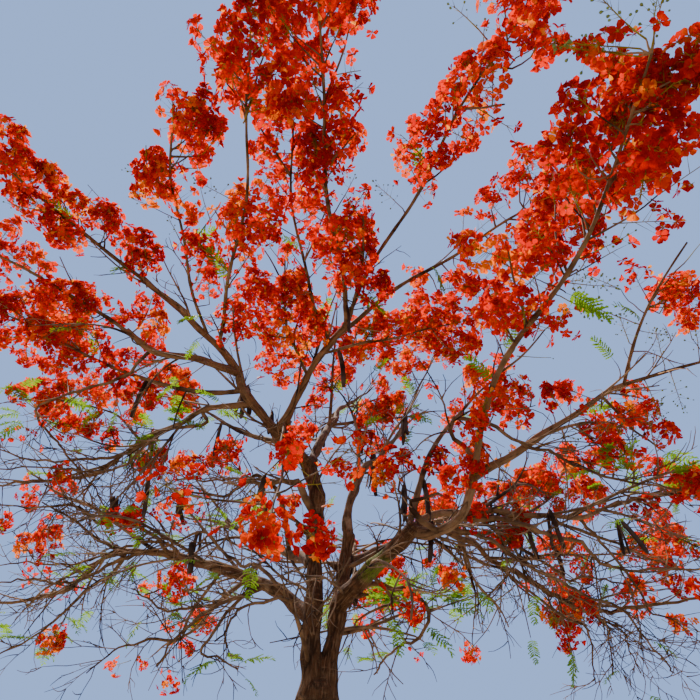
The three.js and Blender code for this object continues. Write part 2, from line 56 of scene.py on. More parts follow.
# How the tree grows, in metres and degrees
growth = {
    "azimuthSway": 5,
    "riseSway": 4,
    "azimuthWave": 11,
    "riseWave": 12,
    "limbRings": 12,
    "shootRings": 10,
    "shootTip": 0.009,
    "twigSpacing": 0.62,
    "twigLength": 0.56,
    "twigLengthRange": 0.5,
    "twigSizes": (1, 0.7, 0.45),
    "lastTwig": 0.92,
    "twigStagger": 0.7,
    "twigSplay": 44,
    "twigSplayRange": 16,
    "twigTurnRange": 50,
    "twigLift": 0.3,
    "twigRadius": 0.018,
    "twigChecks": (0.3, 0.6, 0.8, 1),
    "goldenAngle": 137.5,
    "seedStep": 1000,
    "leafSize": (0.46, 0.32, 0.17),
    "podSize": (0.5, 0.064, 0.024),
    "leafShoulder": 0.14,
    "leafSplay": 55,
    "leafTurn": 40,
    "tipLeafRoot": 0.06,
    "sideLeafShares": (0.4, 0.75),
    "podShares": (0.5, 0.85),
    "podTilt": 0.12,
    "spaceMargin": 0.024,
    "limbMargin": 0.018,
    "lowestLeaf": 2.0,
}

stemFeet = {"stem_west": (-0.08, 0, 2.2), "stem_east": (0.09, 0, 2.2)}

# parent, share of its length, azimuths, rises, length, diameters at foot and end
limbRows = {
    "stem_west": (None, 0, (120, 130, 150), (85, 100, 75), 2.35, (0.19, 0.168)),
    "stem_east": (None, 0, (50, 40, 30), (90, 70, 85), 1.55, (0.166, 0.14)),
    "bough_west_low": ("stem_west", 0.29, (135, 200, 135), (30, 25, -10), 3.25, (0.16, 0.05)),
    "bough_west_rise": ("stem_west", 0.98, (-125, -150, -160), (20, 25, 75), 1.45, (0.15, 0.106)),
    "bough_west_far": ("bough_west_rise", 0.97, (-125, -170, -150), (0, -30, 40), 1.35, (0.09, 0.056)),
    "bough_southwest": ("bough_west_rise", 0.98, (-120, -140, -125), (25, 15, 10), 1.5, (0.09, 0.056)),
    "bough_west_mid": ("bough_west_rise", 0.68, (170, 150, 140), (0, -10, -15), 2.05, (0.078, 0.044)),
    "bough_centre": ("bough_west_rise", 0.4, (-50, -70, -35), (30, 45, 10), 1.5, (0.104, 0.076)),
    "bough_north_high": ("stem_west", 0.98, (70, 90, 65), (55, 45, 40), 2.85, (0.126, 0.06)),
    "bough_east_top": ("stem_east", 0.97, (50, 50, 60), (100, 0, 75), 2.65, (0.112, 0.05)),
    "bough_east": ("stem_east", 0.52, (-60, -45, -50), (25, 15, 25), 1.25, (0.172, 0.15)),
    "bough_east_rise": ("bough_east", 0.97, (-35, -50, -65), (-40, 30, 70), 0.95, (0.096, 0.08)),
    "bough_east_high": ("bough_east_rise", 0.97, (-15, -25, 0), (20, 35, 25), 1.65, (0.072, 0.04)),
    "bough_east_mid": ("bough_east", 0.95, (35, 25, -5), (45, -30, 25), 2.6, (0.084, 0.038)),
    "bough_east_low": ("bough_east", 0.93, (55, 55, 55), (30, -15, 5), 2.7, (0.084, 0.046)),
    "bough_northwest": ("stem_west", 0.5, (110, 140, 120), (20, 30, 25), 3.65, (0.124, 0.05)),
    "bough_north": ("stem_east", 0.62, (90, 85, 85), (20, 35, 25), 3.45, (0.116, 0.05)),
    "bough_northeast": ("stem_east", 0.8, (45, 60, 45), (30, 30, 20), 3.4, (0.104, 0.048)),
}

# parent, share of its length, azimuths, rises, length, diameter, bare share, pods
massRows = {
    "blossom_south": ("bough_centre", 0.97, (-95, -100, -85), (0, 15, -10), 3, 0.064, 0.25, 0),
    "blossom_south_inner": ("bough_centre", 0.8, (-110, -85), (10, 20), 2.25, 0.048, 0.35, 2),
    "blossom_south_left": ("bough_southwest", 0.25, (-70, -80), (5, -10), 3.45, 0.052, 0.2, 0),
    "blossom_southwest_inner": ("bough_southwest", 0.35, (-95, -75), (10, -10), 2.55, 0.046, 0.4, 0),
    "blossom_centre": ("bough_centre", 0.5, (-115, -80), (10, 35), 1.35, 0.044, 0.3, 1),
    "blossom_south_right": ("bough_centre", 0.96, (-75, -90), (-15, 25), 1.4, 0.042, 0.3, 0),
    "blossom_south_east": ("bough_centre", 0.93, (-65, -75), (15, -20), 3.2, 0.054, 0.5, 1),
    "blossom_southeast": ("bough_centre", 0.85, (-35, -45), (20, -10), 2.5, 0.062, 0.35, 0),
    "blossom_centre_east": ("bough_centre", 0.7, (-5, -10), (10, 10), 1.4, 0.042, 0.25, 1),
    "blossom_east_near": ("bough_east_rise", 0.97, (-95, -55, -95), (25, 0, 15), 3.3, 0.072, 0.3, 0),
    "blossom_east_high_up": ("bough_east_high", 0.95, (-85, -60), (40, 25), 1.3, 0.04, 0.45, 0),
    "blossom_east_high": ("bough_east_high", 0.97, (-15, -15), (10, 10), 1.55, 0.042, 0.25, 0),
    "blossom_east_hanging": ("bough_east_high", 0.8, (45, 35), (-20, -5), 0.95, 0.034, 0.25, 0),
    "blossom_east_inner": ("bough_east", 0.9, (20, 5, 20), (75, 60, 30), 2.55, 0.084, 0.5, 2),
    "blossom_east_mid": ("bough_east_mid", 0.96, (0, 20), (15, 25), 1.1, 0.04, 0.25, 0),
    "blossom_east_mid_up": ("bough_east_mid", 0.5, (50, 35), (10, 60), 2.05, 0.044, 0.4, 1),
    "blossom_east_low": ("bough_east_low", 0.96, (5, 60, -5), (-30, 10, 15), 2.6, 0.044, 0.4, 0),
    "blossom_east_low_up": ("bough_east_low", 0.8, (0, 25), (10, 0), 2.15, 0.044, 0.4, 0),
    "blossom_east_under": ("bough_east_low", 0.4, (70, 80), (-30, 10), 1.55, 0.04, 0.35, 0),
    "blossom_north_high": ("bough_north_high", 0.95, (65, 65), (40, 45), 1.5, 0.06, 0.2, 0),
    "blossom_top": ("bough_north_high", 0.4, (-85, -75), (60, 80), 1.7, 0.056, 0.3, 0),
    "blossom_northeast_high": ("bough_north_high", 0.45, (40, 35), (25, 25), 2.6, 0.06, 0.4, 1),
    "blossom_east_top": ("bough_east_top", 0.95, (-5, 30), (65, 65), 1.4, 0.05, 0.3, 0),
    "blossom_northwest_high": ("bough_west_rise", 0.25, (140, 145), (30, 40), 3.7, 0.08, 0.5, 2),
    "blossom_northwest": ("bough_northwest", 0.95, (145, 135), (15, 25), 1.5, 0.05, 0.25, 0),
    "blossom_northwest_back": ("bough_northwest", 0.7, (90, 90), (25, 30), 1.9, 0.048, 0.4, 0),
    "blossom_north": ("bough_north", 0.95, (95, 85), (15, 20), 1.6, 0.05, 0.25, 0),
    "blossom_north_low": ("bough_north", 0.6, (70, 75), (-15, -5), 2.2, 0.048, 0.5, 0),
    "blossom_northeast": ("bough_northeast", 0.95, (40, 35), (10, 15), 1.55, 0.048, 0.25, 0),
    "blossom_northeast_back": ("bough_northeast", 0.6, (80, 70), (25, 25), 2.4, 0.05, 0.45, 0),
    "blossom_northeast_low": ("bough_northeast", 0.5, (50, 65), (-15, -10), 2.6, 0.05, 0.5, 0),
    "blossom_west_low": ("bough_west_low", 0.96, (175, 130), (-20, -20), 1.2, 0.05, 0.2, 0),
    "blossom_west_low_back": ("bough_west_low", 0.3, (125, 125), (-15, 0), 2.85, 0.064, 0.45, 0),
    "blossom_west_low_front": ("bough_west_low", 0.6, (-105, -145), (50, 20), 0.65, 0.038, 0.3, 0),
    "blossom_west_mid": ("bough_west_mid", 0.96, (155, 180), (-15, 10), 1.75, 0.042, 0.3, 0),
    "blossom_west_mid_up": ("bough_west_mid", 0.75, (145, 170), (50, 10), 1.95, 0.044, 0.4, 1),
    "blossom_west_over": ("bough_west_rise", 0.81, (-180, -150, -165), (-10, 25, 20), 2.85, 0.072, 0.45, 2),
    "blossom_west_far": ("bough_west_far", 0.95, (-150, -150), (25, 5), 2, 0.052, 0.2, 0),
    "blossom_southwest": ("bough_southwest", 0.95, (-125, -115), (0, 0), 1.7, 0.052, 0.1, 0),
    "blossom_front_low": ("bough_centre", 0.1, (-80, -85), (-45, -40), 2.95, 0.036, 0.75, 0),
    "leaves_low": ("stem_east", 0.35, (45, 45), (20, 15), 2.3, 0.05, 0.35, 0),
}

up = np.array([0.0, 0.0, 1.0])


def seeded(seed):
    state = seed

    def draw():
        nonlocal state
        state = (state + 0x6D2B79F5) & 0xFFFFFFFF
        mixed = ((state ^ (state >> 15)) * (state | 1)) & 0xFFFFFFFF
        mixed ^= (mixed + (mixed ^ (mixed >> 7)) * (mixed | 61)) & 0xFFFFFFFF
        return ((mixed ^ (mixed >> 14)) & 0xFFFFFFFF) / 4294967296

    return draw


def mix(low, high, share):
    return low + (high - low) * share


def unit(vector):
    return vector / np.maximum(np.linalg.norm(vector, axis=-1, keepdims=True), 1e-12)


def turned(angles, share):
    if len(angles) == 2:
        return mix(angles[0], angles[1], share)
    return mix(mix(angles[0], angles[1], share), mix(angles[1], angles[2], share), share)


def about(vector, axis, angle):
    cosine, sine = math.cos(angle), math.sin(angle)
    return vector * cosine + np.cross(axis, vector) * sine + axis * np.dot(axis, vector) * (1 - cosine)


def pointAt(course, share):
    place = share * (len(course) - 1)
    index = min(int(place), len(course) - 2)
    return mix(course[index], course[index + 1], place - index)


def headingAt(course, share):
    index = min(int(share * (len(course) - 1)), len(course) - 2)
    return unit(course[index + 1] - course[index])


def growCourse(start, azimuths, rises, length, rings, seed):
    draw = seeded(seed)
    azimuthPhase = 2 * math.pi * draw()
    risePhase = 2 * math.pi * draw()
    points = [np.array(start, float)]
    for ring in range(rings):
        share = (ring + 0.5) / rings
        sway = growth["azimuthSway"] * math.sin(growth["azimuthWave"] * share + azimuthPhase)
        dip = growth["riseSway"] * math.sin(growth["riseWave"] * share + risePhase)
        azimuth = math.radians(turned(azimuths, share) + sway)
        rise = math.radians(turned(rises, share) + dip)
        heading = (math.cos(azimuth) * math.cos(rise), math.sin(azimuth) * math.cos(rise), math.sin(rise))
        points.append(points[-1] + np.array(heading) * length / rings)
    return np.array(points)


class Courses:  # many courses as one list of straight stretches, each with its owner and its radii
    def __init__(self):
        self.starts, self.ends, self.radii, self.owners = [], [], [], []

    def add(self, course, radii, owner):
        self.starts += list(course[:-1])
        self.ends += list(course[1:])
        self.radii += list(zip(radii[:-1], radii[1:]))
        self.owners += [owner] * (len(course) - 1)

    def close(self):
        self.starts, self.ends = np.array(self.starts), np.array(self.ends)
        self.radii, self.owners = np.array(self.radii), np.array(self.owners)
        return self

    def near(self, points):  # distance to every stretch, its radius there, and the share along it
        spans = self.ends - self.starts
        offset = points[:, None, :] - self.starts[None]
        share = np.clip((offset * spans).sum(2) / (spans**2).sum(1), 0, 1)
        gap = np.linalg.norm(offset - share[..., None] * spans, axis=2)
        return gap, mix(self.radii[:, 0], self.radii[:, 1], share), share


limbs, masses = {}, []
limbCourses, shootCourses, leafyCourses = Courses(), Courses(), Courses()
for seed, (name, (parent, share, azimuths, rises, length, thick)) in enumerate(limbRows.items(), 1):
    start = pointAt(limbs[parent]["course"], share) if parent else stemFeet[name]
    course = growCourse(start, azimuths, rises, length, growth["limbRings"], seed)
    radii = np.linspace(thick[0], thick[1], len(course)) / 2
    limbs[name] = {"name": name, "course": course, "radii": radii, "seed": seed, "length": length}
    limbCourses.add(course, radii, seed)

for number, (name, (parent, share, azimuths, rises, length, thick, bare, pods)) in enumerate(massRows.items()):
    seed = len(limbRows) + 1 + number
    course = growCourse(pointAt(limbs[parent]["course"], share), azimuths, rises, length, growth["shootRings"], seed)
    radii = np.linspace(thick / 2, growth["shootTip"], len(course))
    leafy = course[[ring / growth["shootRings"] >= bare - 0.01 for ring in range(len(course))]]
    masses.append({"name": name, "number": number, "course": course, "radii": radii,
                   "seed": seed, "length": length, "bare": bare, "pods": pods,
                   "isLeafy": name.startswith("leaves"), "short": name.replace("blossom_", "")})
    shootCourses.add(course, radii, number)
    leafyCourses.add(leafy, np.zeros(len(leafy)), number)
for courses in (limbCourses, shootCourses, leafyCourses):
    courses.close()


def isClear(mass, points, reach):
    points = np.atleast_2d(points)
    if (points[:, 2] - reach < growth["lowestLeaf"]).any():
        return False
    gap = leafyCourses.near(points)[0]
    mine = leafyCourses.owners == mass["number"]
    if (gap[:, ~mine].min(1) < gap[:, mine].min(1) + growth["spaceMargin"]).any():
        return False
    gap, radius, _ = shootCourses.near(points)
    blocked = (gap < radius + reach + growth["limbMargin"]) & (shootCourses.owners != mass["number"])
    if blocked.any():
        return False
    gap, radius, _ = limbCourses.near(points)
    return not (gap < radius + reach + growth["limbMargin"]).any()


def leafAxes(along, roll):
    width = about(unit(np.cross(up, along)), along, roll)
    return along, width, np.cross(along, width)


def leafIsClear(mass, size, root, axes):
    belly = 0.5 + growth["leafShoulder"]
    corners = [(belly, 0.5, 0), (belly, -0.5, 0), (belly, 0, 0.5), (belly, 0, -0.5), (1, 0, 0)]
    points = [root + sum(axes[k] * corner[k] * size[k] for k in range(3)) for corner in corners]
    return isClear(mass, points, 0) and isClear(mass, root + axes[0] * belly * size[0], size[2] / 2)


def placeSpray(mass, root, axes):
    if leafIsClear(mass, growth["leafSize"], root, axes):
        sprays.append({"mass": mass, "root": root, "axes": axes})


def splayed(heading, splay, around):
    side = about(unit(np.cross(up, heading)), heading, around)
    return heading * math.cos(splay) + side * math.sin(splay)


# The twigs and the sprays of every mass, by the rule that its solid follows
twigs, sprays, pods = [], [], []
for mass in masses:
    draw = seeded(mass["seed"] * growth["seedStep"])
    course, bare = mass["course"], mass["bare"]
    count = max(2, math.floor(mass["length"] * (1 - bare) / growth["twigSpacing"] + 0.5))
    for index in range(count):
        share = mix(bare, growth["lastTwig"], (index + growth["twigStagger"] * draw()) / count)
        around = math.radians(growth["goldenAngle"] * index + growth["twigTurnRange"] * draw())
        splay = math.radians(growth["twigSplay"] + growth["twigSplayRange"] * (draw() - 0.5))
        length = growth["twigLength"] * (1 + growth["twigLengthRange"] * (draw() - 0.5))
        start = pointAt(course, share)
        along = unit(splayed(headingAt(course, share), splay, around) + up * growth["twigLift"])
        twig = None
        for size in growth["twigSizes"]:
            checks = [start + along * length * size * check for check in growth["twigChecks"]]
            if isClear(mass, checks, growth["twigRadius"]):
                twig = (start, start + along * length * size)
                break
        tipRoll = math.pi * draw()
        sideRolls = [(math.pi * draw(), draw() - 0.5) for _ in growth["sideLeafShares"]]
        if twig is None:
            continue
        twigs.append({"start": twig[0], "end": twig[1]})
        placeSpray(mass, twig[1], leafAxes(along, tipRoll))
        for side, leafShare in enumerate(growth["sideLeafShares"]):
            roll, turn = sideRolls[side]
            sideways = splayed(along, math.radians(growth["leafSplay"]),
                               math.pi * side + math.radians(growth["leafTurn"]) * turn)
            placeSpray(mass, mix(twig[0], twig[1], leafShare), leafAxes(sideways, roll))
    tip = headingAt(course, 1)
    placeSpray(mass, course[-1] - tip * growth["tipLeafRoot"], leafAxes(tip, math.pi * draw()))
    for podShare in growth["podShares"][: mass["pods"]]:
        share = podShare * bare
        hanging = unit(headingAt(course, share) * growth["podTilt"] - up)
        root, axes = pointAt(course, share), leafAxes(hanging, math.pi * draw())
        if leafIsClear(mass, growth["podSize"], root, axes):
            pods.append({"root": root, "axes": axes, "length": growth["podSize"][0]})
print(f"{len(limbs)} limbs, {len(masses)} masses, {len(twigs)} twigs, {len(sprays)} sprays, {len(pods)} pods")


# Fine growth, inside the same reach, in metres, degrees and shares
fine = {
    "seed": 7,
    "reachMargin": 0.03,
    "lowest": 1.75,
    "flowers": 64,
    "flowerRange": (0.85, 1.15),
    "paleShare": 0.22,
    "tintShares": (0.46, 0.14, 0.32, 0.08),
    "ownTint": 0.66,
    "stalkLength": 0.33,
    "stalkSteps": 4,
    "stalkRadii": (0.0042, 0.002),
    "firstFoot": 0.25,
    "stalkBend": (0.03, 0.05),
    "lift": 0.12,
    "leans": (98, 10),
    "leanRange": (-14, 14),
    "reaches": (0.175, 0.1),
    "reachRange": (0.6, 1.12),
    "budsFrom": 0.86,
    "budShare": 0.4,
    "budReach": (0.5, 0.85),
    "budSizes": (0.6, 1.1),
    "twigRadii": (0.0105, 0.0055),
    "fullness": {  # tenths of the usual flowers, for each solid spray of a mass or spread along its shoot
        "south": (8, 8, 5, 10, 10), "south_inner": (10, 10, 7, 10), "south_left": (6, 7, 5, 9, 9),
        "southwest_inner": (2, 2, 3), "south_right": (1, 1), "south_east": (5, 8, 1, 8, 10),
        "southeast": (1, 1, 1, 10, 8, 8, 10), "centre_east": (8, 8, 8, 8, 8),
        "east_near": (8, 1, 8, 3, 8, 8, 1, 2, 9, 7, 11, 1), "east_high_up": (1, 1, 1, 1, 1),
        "east_hanging": (6, 5, 6, 3, 2), "east_inner": (2, 2, 2, 4, 3), "east_mid": (6, 8, 7, 2, 8),
        "east_mid_up": (10, 10, 10, 5, 10, 8, 10), "east_low": (5, 8, 7, 7, 2, 4, 2, 5),
        "east_low_up": (5, 10, 3, 8, 8, 8), "east_under": (1, 1), "north_high": (10, 6, 6, 10, 10, 8, 8),
        "top": (12, 8, 10, 8, 7, 7, 6), "northeast_high": (9, 3, 5, 3, 5, 3),
        "east_top": (8, 10, 6, 10, 10, 10, 10), "northwest_high": (10, 10, 10, 6, 10, 6, 14, 10, 10, 10),
        "northwest": (1, 1, 1, 1, 1, 1, 2), "northwest_back": (3, 7, 7, 8, 6), "north": (6, 6, 4, 4, 5, 4, 6),
        "north_low": (10, 14, 10, 10, 10, 5), "northeast": (10, 10, 8, 8, 8, 10),
        "northeast_back": (14, 10, 10, 14, 10, 10), "northeast_low": (9, 9, 6, 2, 7, 2),
        "west_low": (2, 2, 1, 1, 2, 1), "west_low_back": (3, 3, 3, 4, 2, 4, 2, 1, 3, 1),
        "west_low_front": (2, 1, 3, 3, 4), "west_mid": (2, 2, 2, 2, 2, 4, 4), "west_mid_up": (4, 5, 4, 4, 6, 5, 9),
        "west_over": (11, 10, 10, 10, 10, 10), "west_far": (5, 9, 11, 11, 11, 11), "southwest": (2, 2, 8, 7, 9),
        "front_low": (2, 1, 1, 1, 1, 1, 7)},
}
chance = np.random.default_rng(fine["seed"])
crownLow = np.array(cadLow) - fine["reachMargin"]
crownHigh = np.array(cadHigh) + fine["reachMargin"]


def inReach(points, margin=0.0):
    points = np.atleast_2d(points)
    inside = (points > crownLow + margin) & (points < crownHigh - margin)
    return inside.all() and points[:, 2].min() > fine["lowest"]


def smoothCourse(course, step):  # a round curve through the points, at an even step
    course = np.asarray(course, float)
    ends = np.vstack([2 * course[0] - course[1], course, 2 * course[-1] - course[-2]])
    count = max(3, round(np.linalg.norm(np.diff(course, axis=0), axis=1).sum() / step))
    place = np.linspace(0, len(course) - 1 - 1e-9, count + 1)
    index, share = place.astype(int), (place % 1)[:, None]
    a, b, c, d = ends[index], ends[index + 1], ends[index + 2], ends[index + 3]
    square, cube = (2 * a - 5 * b + 4 * c - d) * share**2, (3 * b - a - 3 * c + d) * share**3
    return 0.5 * (2 * b + (c - a) * share + square + cube)


def shareNear(course, point):  # the share of a course that lies nearest a point
    places = np.linspace(0, 1, 41)
    return places[np.argmin([np.linalg.norm(pointAt(course, place) - point) for place in places])]


def isMine(mass, points):  # nearer this mass's own shoot than any other
    gap = leafyCourses.near(np.atleast_2d(points))[0]
    mine = leafyCourses.owners == mass["number"]
    return (gap[:, mine].min(1) < gap[:, ~mine].min(1) + 0.1).all()


def bentTwig(start, heading, length, steps, lift, wander):
    points, heading = [start], heading.copy()
    for _ in range(steps):
        heading = unit(heading + up * lift + chance.normal(0, wander, 3))
        points.append(points[-1] + heading * length / steps)
    return np.array(points)


# Sky shows through the crown at these places, by radius, in tenths of a metre: no blossom grows there
openPlaces = {
    0.4: ((24, 31, 40), (33, -16, 48), (7, 45, 53), (-40, 8, 48), (37, 21, 38), (15, 17, 66), (-25, 24, 30),
    (41, -2, 47), (-34, 14, 37), (36, 12, 42), (-20, 0, 41), (-15, -35, 57), (31, -27, 52), (-20, 20, 31),
    (18, 12, 35), (-5, -32, 54), (27, 34, 37), (15, -25, 57), (-13, 5, 55), (30, 4, 52), (20, 25, 40), (2, 38, 51),
    (5, 23, 73), (16, 23, 67), (0, 9, 54), (-21, -27, 63), (45, 23, 35), (-19, 16, 68), (-28, 33, 55), (13, -4, 51),
    (-15, 33, 53), (33, -12, 41), (-35, 4, 47), (-17, 9, 61), (18, 18, 30), (-34, 15, 33), (42, 21, 37),
    (-20, 15, 33), (-15, 9, 36), (16, 12, 66), (-32, 3, 62), (-24, 30, 54), (35, 10, 36), (4, 18, 68),
    (-39, 11, 50), (-37, 18, 31), (35, 17, 36), (20, 28, 42), (23, 30, 36), (23, 36, 37)),
    0.3: ((19, -29, 44), (11, 41, 37), (32, 10, 42), (-10, -29, 58), (7, 29, 77), (16, -24, 41), (0, 1, 70),
    (24, -4, 56), (25, -19, 44), (34, 1, 43), (11, -36, 46), (14, 39, 40), (12, -32, 56), (10, -21, 58),
    (9, -40, 57), (35, 32, 52), (14, -37, 55)),
    0.22: ((5, -38, 58), (19, -17, 45), (14, -40, 52), (19, -6, 42), (7, -25, 56), (29, 9, 52), (17, -31, 58),
    (15, 43, 34), (-23, 1, 48), (17, 7, 36), (-3, -23, 57), (7, -36, 57), (-11, -25, 60), (12, 17, 41),
    (-24, 29, 31), (29, 29, 42), (-27, -18, 59), (4, -30, 54), (28, -23, 52), (-31, 10, 36), (16, -33, 40)),
    0.2: ((16, -41, 52), (21, -34, 44), (21, -32, 43)),
    0.16: ((16, -43, 53), (10, -8, 43), (6, -8, 43), (16, -45, 47), (19, -47, 46), (-24, -16, 58), (3, -26, 59),
    (-6, -33, 58), (10, -32, 54), (-25, -32, 62), (37, -3, 44), (-18, -16, 58), (16, 42, 40), (4, -34, 57),
    (-6, -42, 57), (-35, -14, 60), (-8, -40, 53), (1, 45, 51), (17, -44, 50), (16, -43, 50), (17, -38, 53)),
}
openBalls = [(radius, np.array(places) / 10) for radius, places in openPlaces.items()]


def isOpen(point):
    return any((np.linalg.norm(places - point, axis=1) < radius).any() for radius, places in openBalls)


stems, stalks, flowers, buds, leaves = [], [], [], [], []


def addSpray(root, axes, scale, count, isSpent=False, isKept=False):
    along, width, thick = axes
    stalk = bentTwig(root, along, fine["stalkLength"] * scale, fine["stalkSteps"], *fine["stalkBend"])
    furthest = 0
    tint = chance.choice(4, p=fine["tintShares"])
    turn = chance.uniform(0, 2 * math.pi)
    for index in range(count):
        share = (index + chance.uniform(0.1, 0.9)) / count
        around = turn + math.radians(growth["goldenAngle"]) * index + chance.uniform(-0.4, 0.4)
        lean = math.radians(mix(*fine["leans"], share) + chance.uniform(*fine["leanRange"]))
        reach = mix(*fine["reaches"], share) * (0.35 + 0.65 * scale) * chance.uniform(*fine["reachRange"])
        footShare = mix(fine["firstFoot"], 1, share**0.8)
        foot = pointAt(stalk, footShare)
        radial = width * math.cos(around) * 1.05 + thick * math.sin(around) * 0.95
        heading = unit(along * math.cos(lean) + radial * math.sin(lean) + up * fine["lift"])
        top = foot + heading * reach
        if not inReach(top, 0.02) or not isKept and isOpen(top):
            continue
        furthest = max(furthest, footShare)
        if isSpent or (share > fine["budsFrom"] and chance.random() < fine["budShare"]):
            budTop = foot + heading * reach * chance.uniform(*fine["budReach"])
            buds.append((foot, budTop, chance.uniform(*fine["budSizes"])))
        else:
            isOwn = chance.random() < fine["ownTint"]
            flowers.append((foot, top, tint if isOwn else chance.choice(4, p=fine["tintShares"])))
    if furthest > 0:  # the stalk ends at its last flower
        part = slice(1 + math.ceil(fine["stalkSteps"] * furthest))
        radii = np.linspace(*fine["stalkRadii"], len(stalk)) * (0.8 + 0.4 * scale)
        stalks.append((stalk[part], radii[part]))


for mass in masses:
    mine = [spray for spray in sprays if spray["mass"] is mass and not mass["isLeafy"]]
    parts = np.array(fine["fullness"].get(mass["short"], (10, 10))) / 10
    for index, spray in enumerate(mine):
        place = (shareNear(mass["course"], spray["root"]) - mass["bare"]) / (1 - mass["bare"])
        isListed = len(parts) == len(mine) > 2
        full = parts[index] if isListed else np.interp(place, np.linspace(0, 1, len(parts)), parts)
        count = int(fine["flowers"] * full * chance.uniform(*fine["flowerRange"]))
        addSpray(spray["root"], spray["axes"], 1, count)

for twig in twigs:
    span = twig["end"] - twig["start"]
    course = bentTwig(twig["start"], unit(span), np.linalg.norm(span), 5, 0, 0.06)
    course += np.linspace(0, 1, 6)[:, None] * (twig["end"] - course[-1])
    stems.append((course, np.linspace(*fine["twigRadii"], 6)))

# Short side sprays make the sleeve of blossom round each shoot
sleeve = {
    "step": 0.115,
    "flowers": 17,
    "spentShare": 0.18,
    "spentBuds": 7,
    "last": 0.97,
    "splay": (38, 68),
    "lift": 0.25,
    "lengths": (0.06, 0.3),
    "footLength": 0.6,
    "margin": 0.2,
    "scales": (0.5, 0.72),
    "radii": (0.0065, 0.0042),
    "leafLengths": (0.3, 0.42),
}
for mass in masses:
    course, bare = mass["course"], mass["bare"]
    count = 0 if mass["short"] == "front_low" else int(mass["length"] * (1 - bare) / sleeve["step"])
    for index in range(count):
        share = mix(bare, sleeve["last"], (index + chance.random()) / count)
        around = math.radians(growth["goldenAngle"]) * index + chance.uniform(-0.6, 0.6)
        splay = math.radians(chance.uniform(*sleeve["splay"]))
        along = unit(splayed(headingAt(course, share), splay, around) + up * sleeve["lift"])
        length = chance.uniform(*sleeve["lengths"]) * (1 if share > bare + 0.1 else sleeve["footLength"])
        twig = bentTwig(pointAt(course, share), along, length, 3, 0.05, 0.05)
        if not isMine(mass, twig[-1]) or not inReach(twig, sleeve["margin"]) or isOpen(twig[-1]):
            continue
        stems.append((twig, np.linspace(*sleeve["radii"], 4)))
        if mass["isLeafy"]:
            leaves.append((twig[-1], unit(along + up * 0.1), chance.uniform(*sleeve["leafLengths"])))
            continue
        isSpent = chance.random() < sleeve["spentShare"]
        axes = leafAxes(unit(twig[-1] - twig[-2]), chance.uniform(0, math.pi))
        scale = chance.uniform(*sleeve["scales"])
        number = sleeve["spentBuds"] if isSpent else sleeve["flowers"] + chance.integers(-2, 3)
        addSpray(twig[-1], axes, scale, number, isSpent)

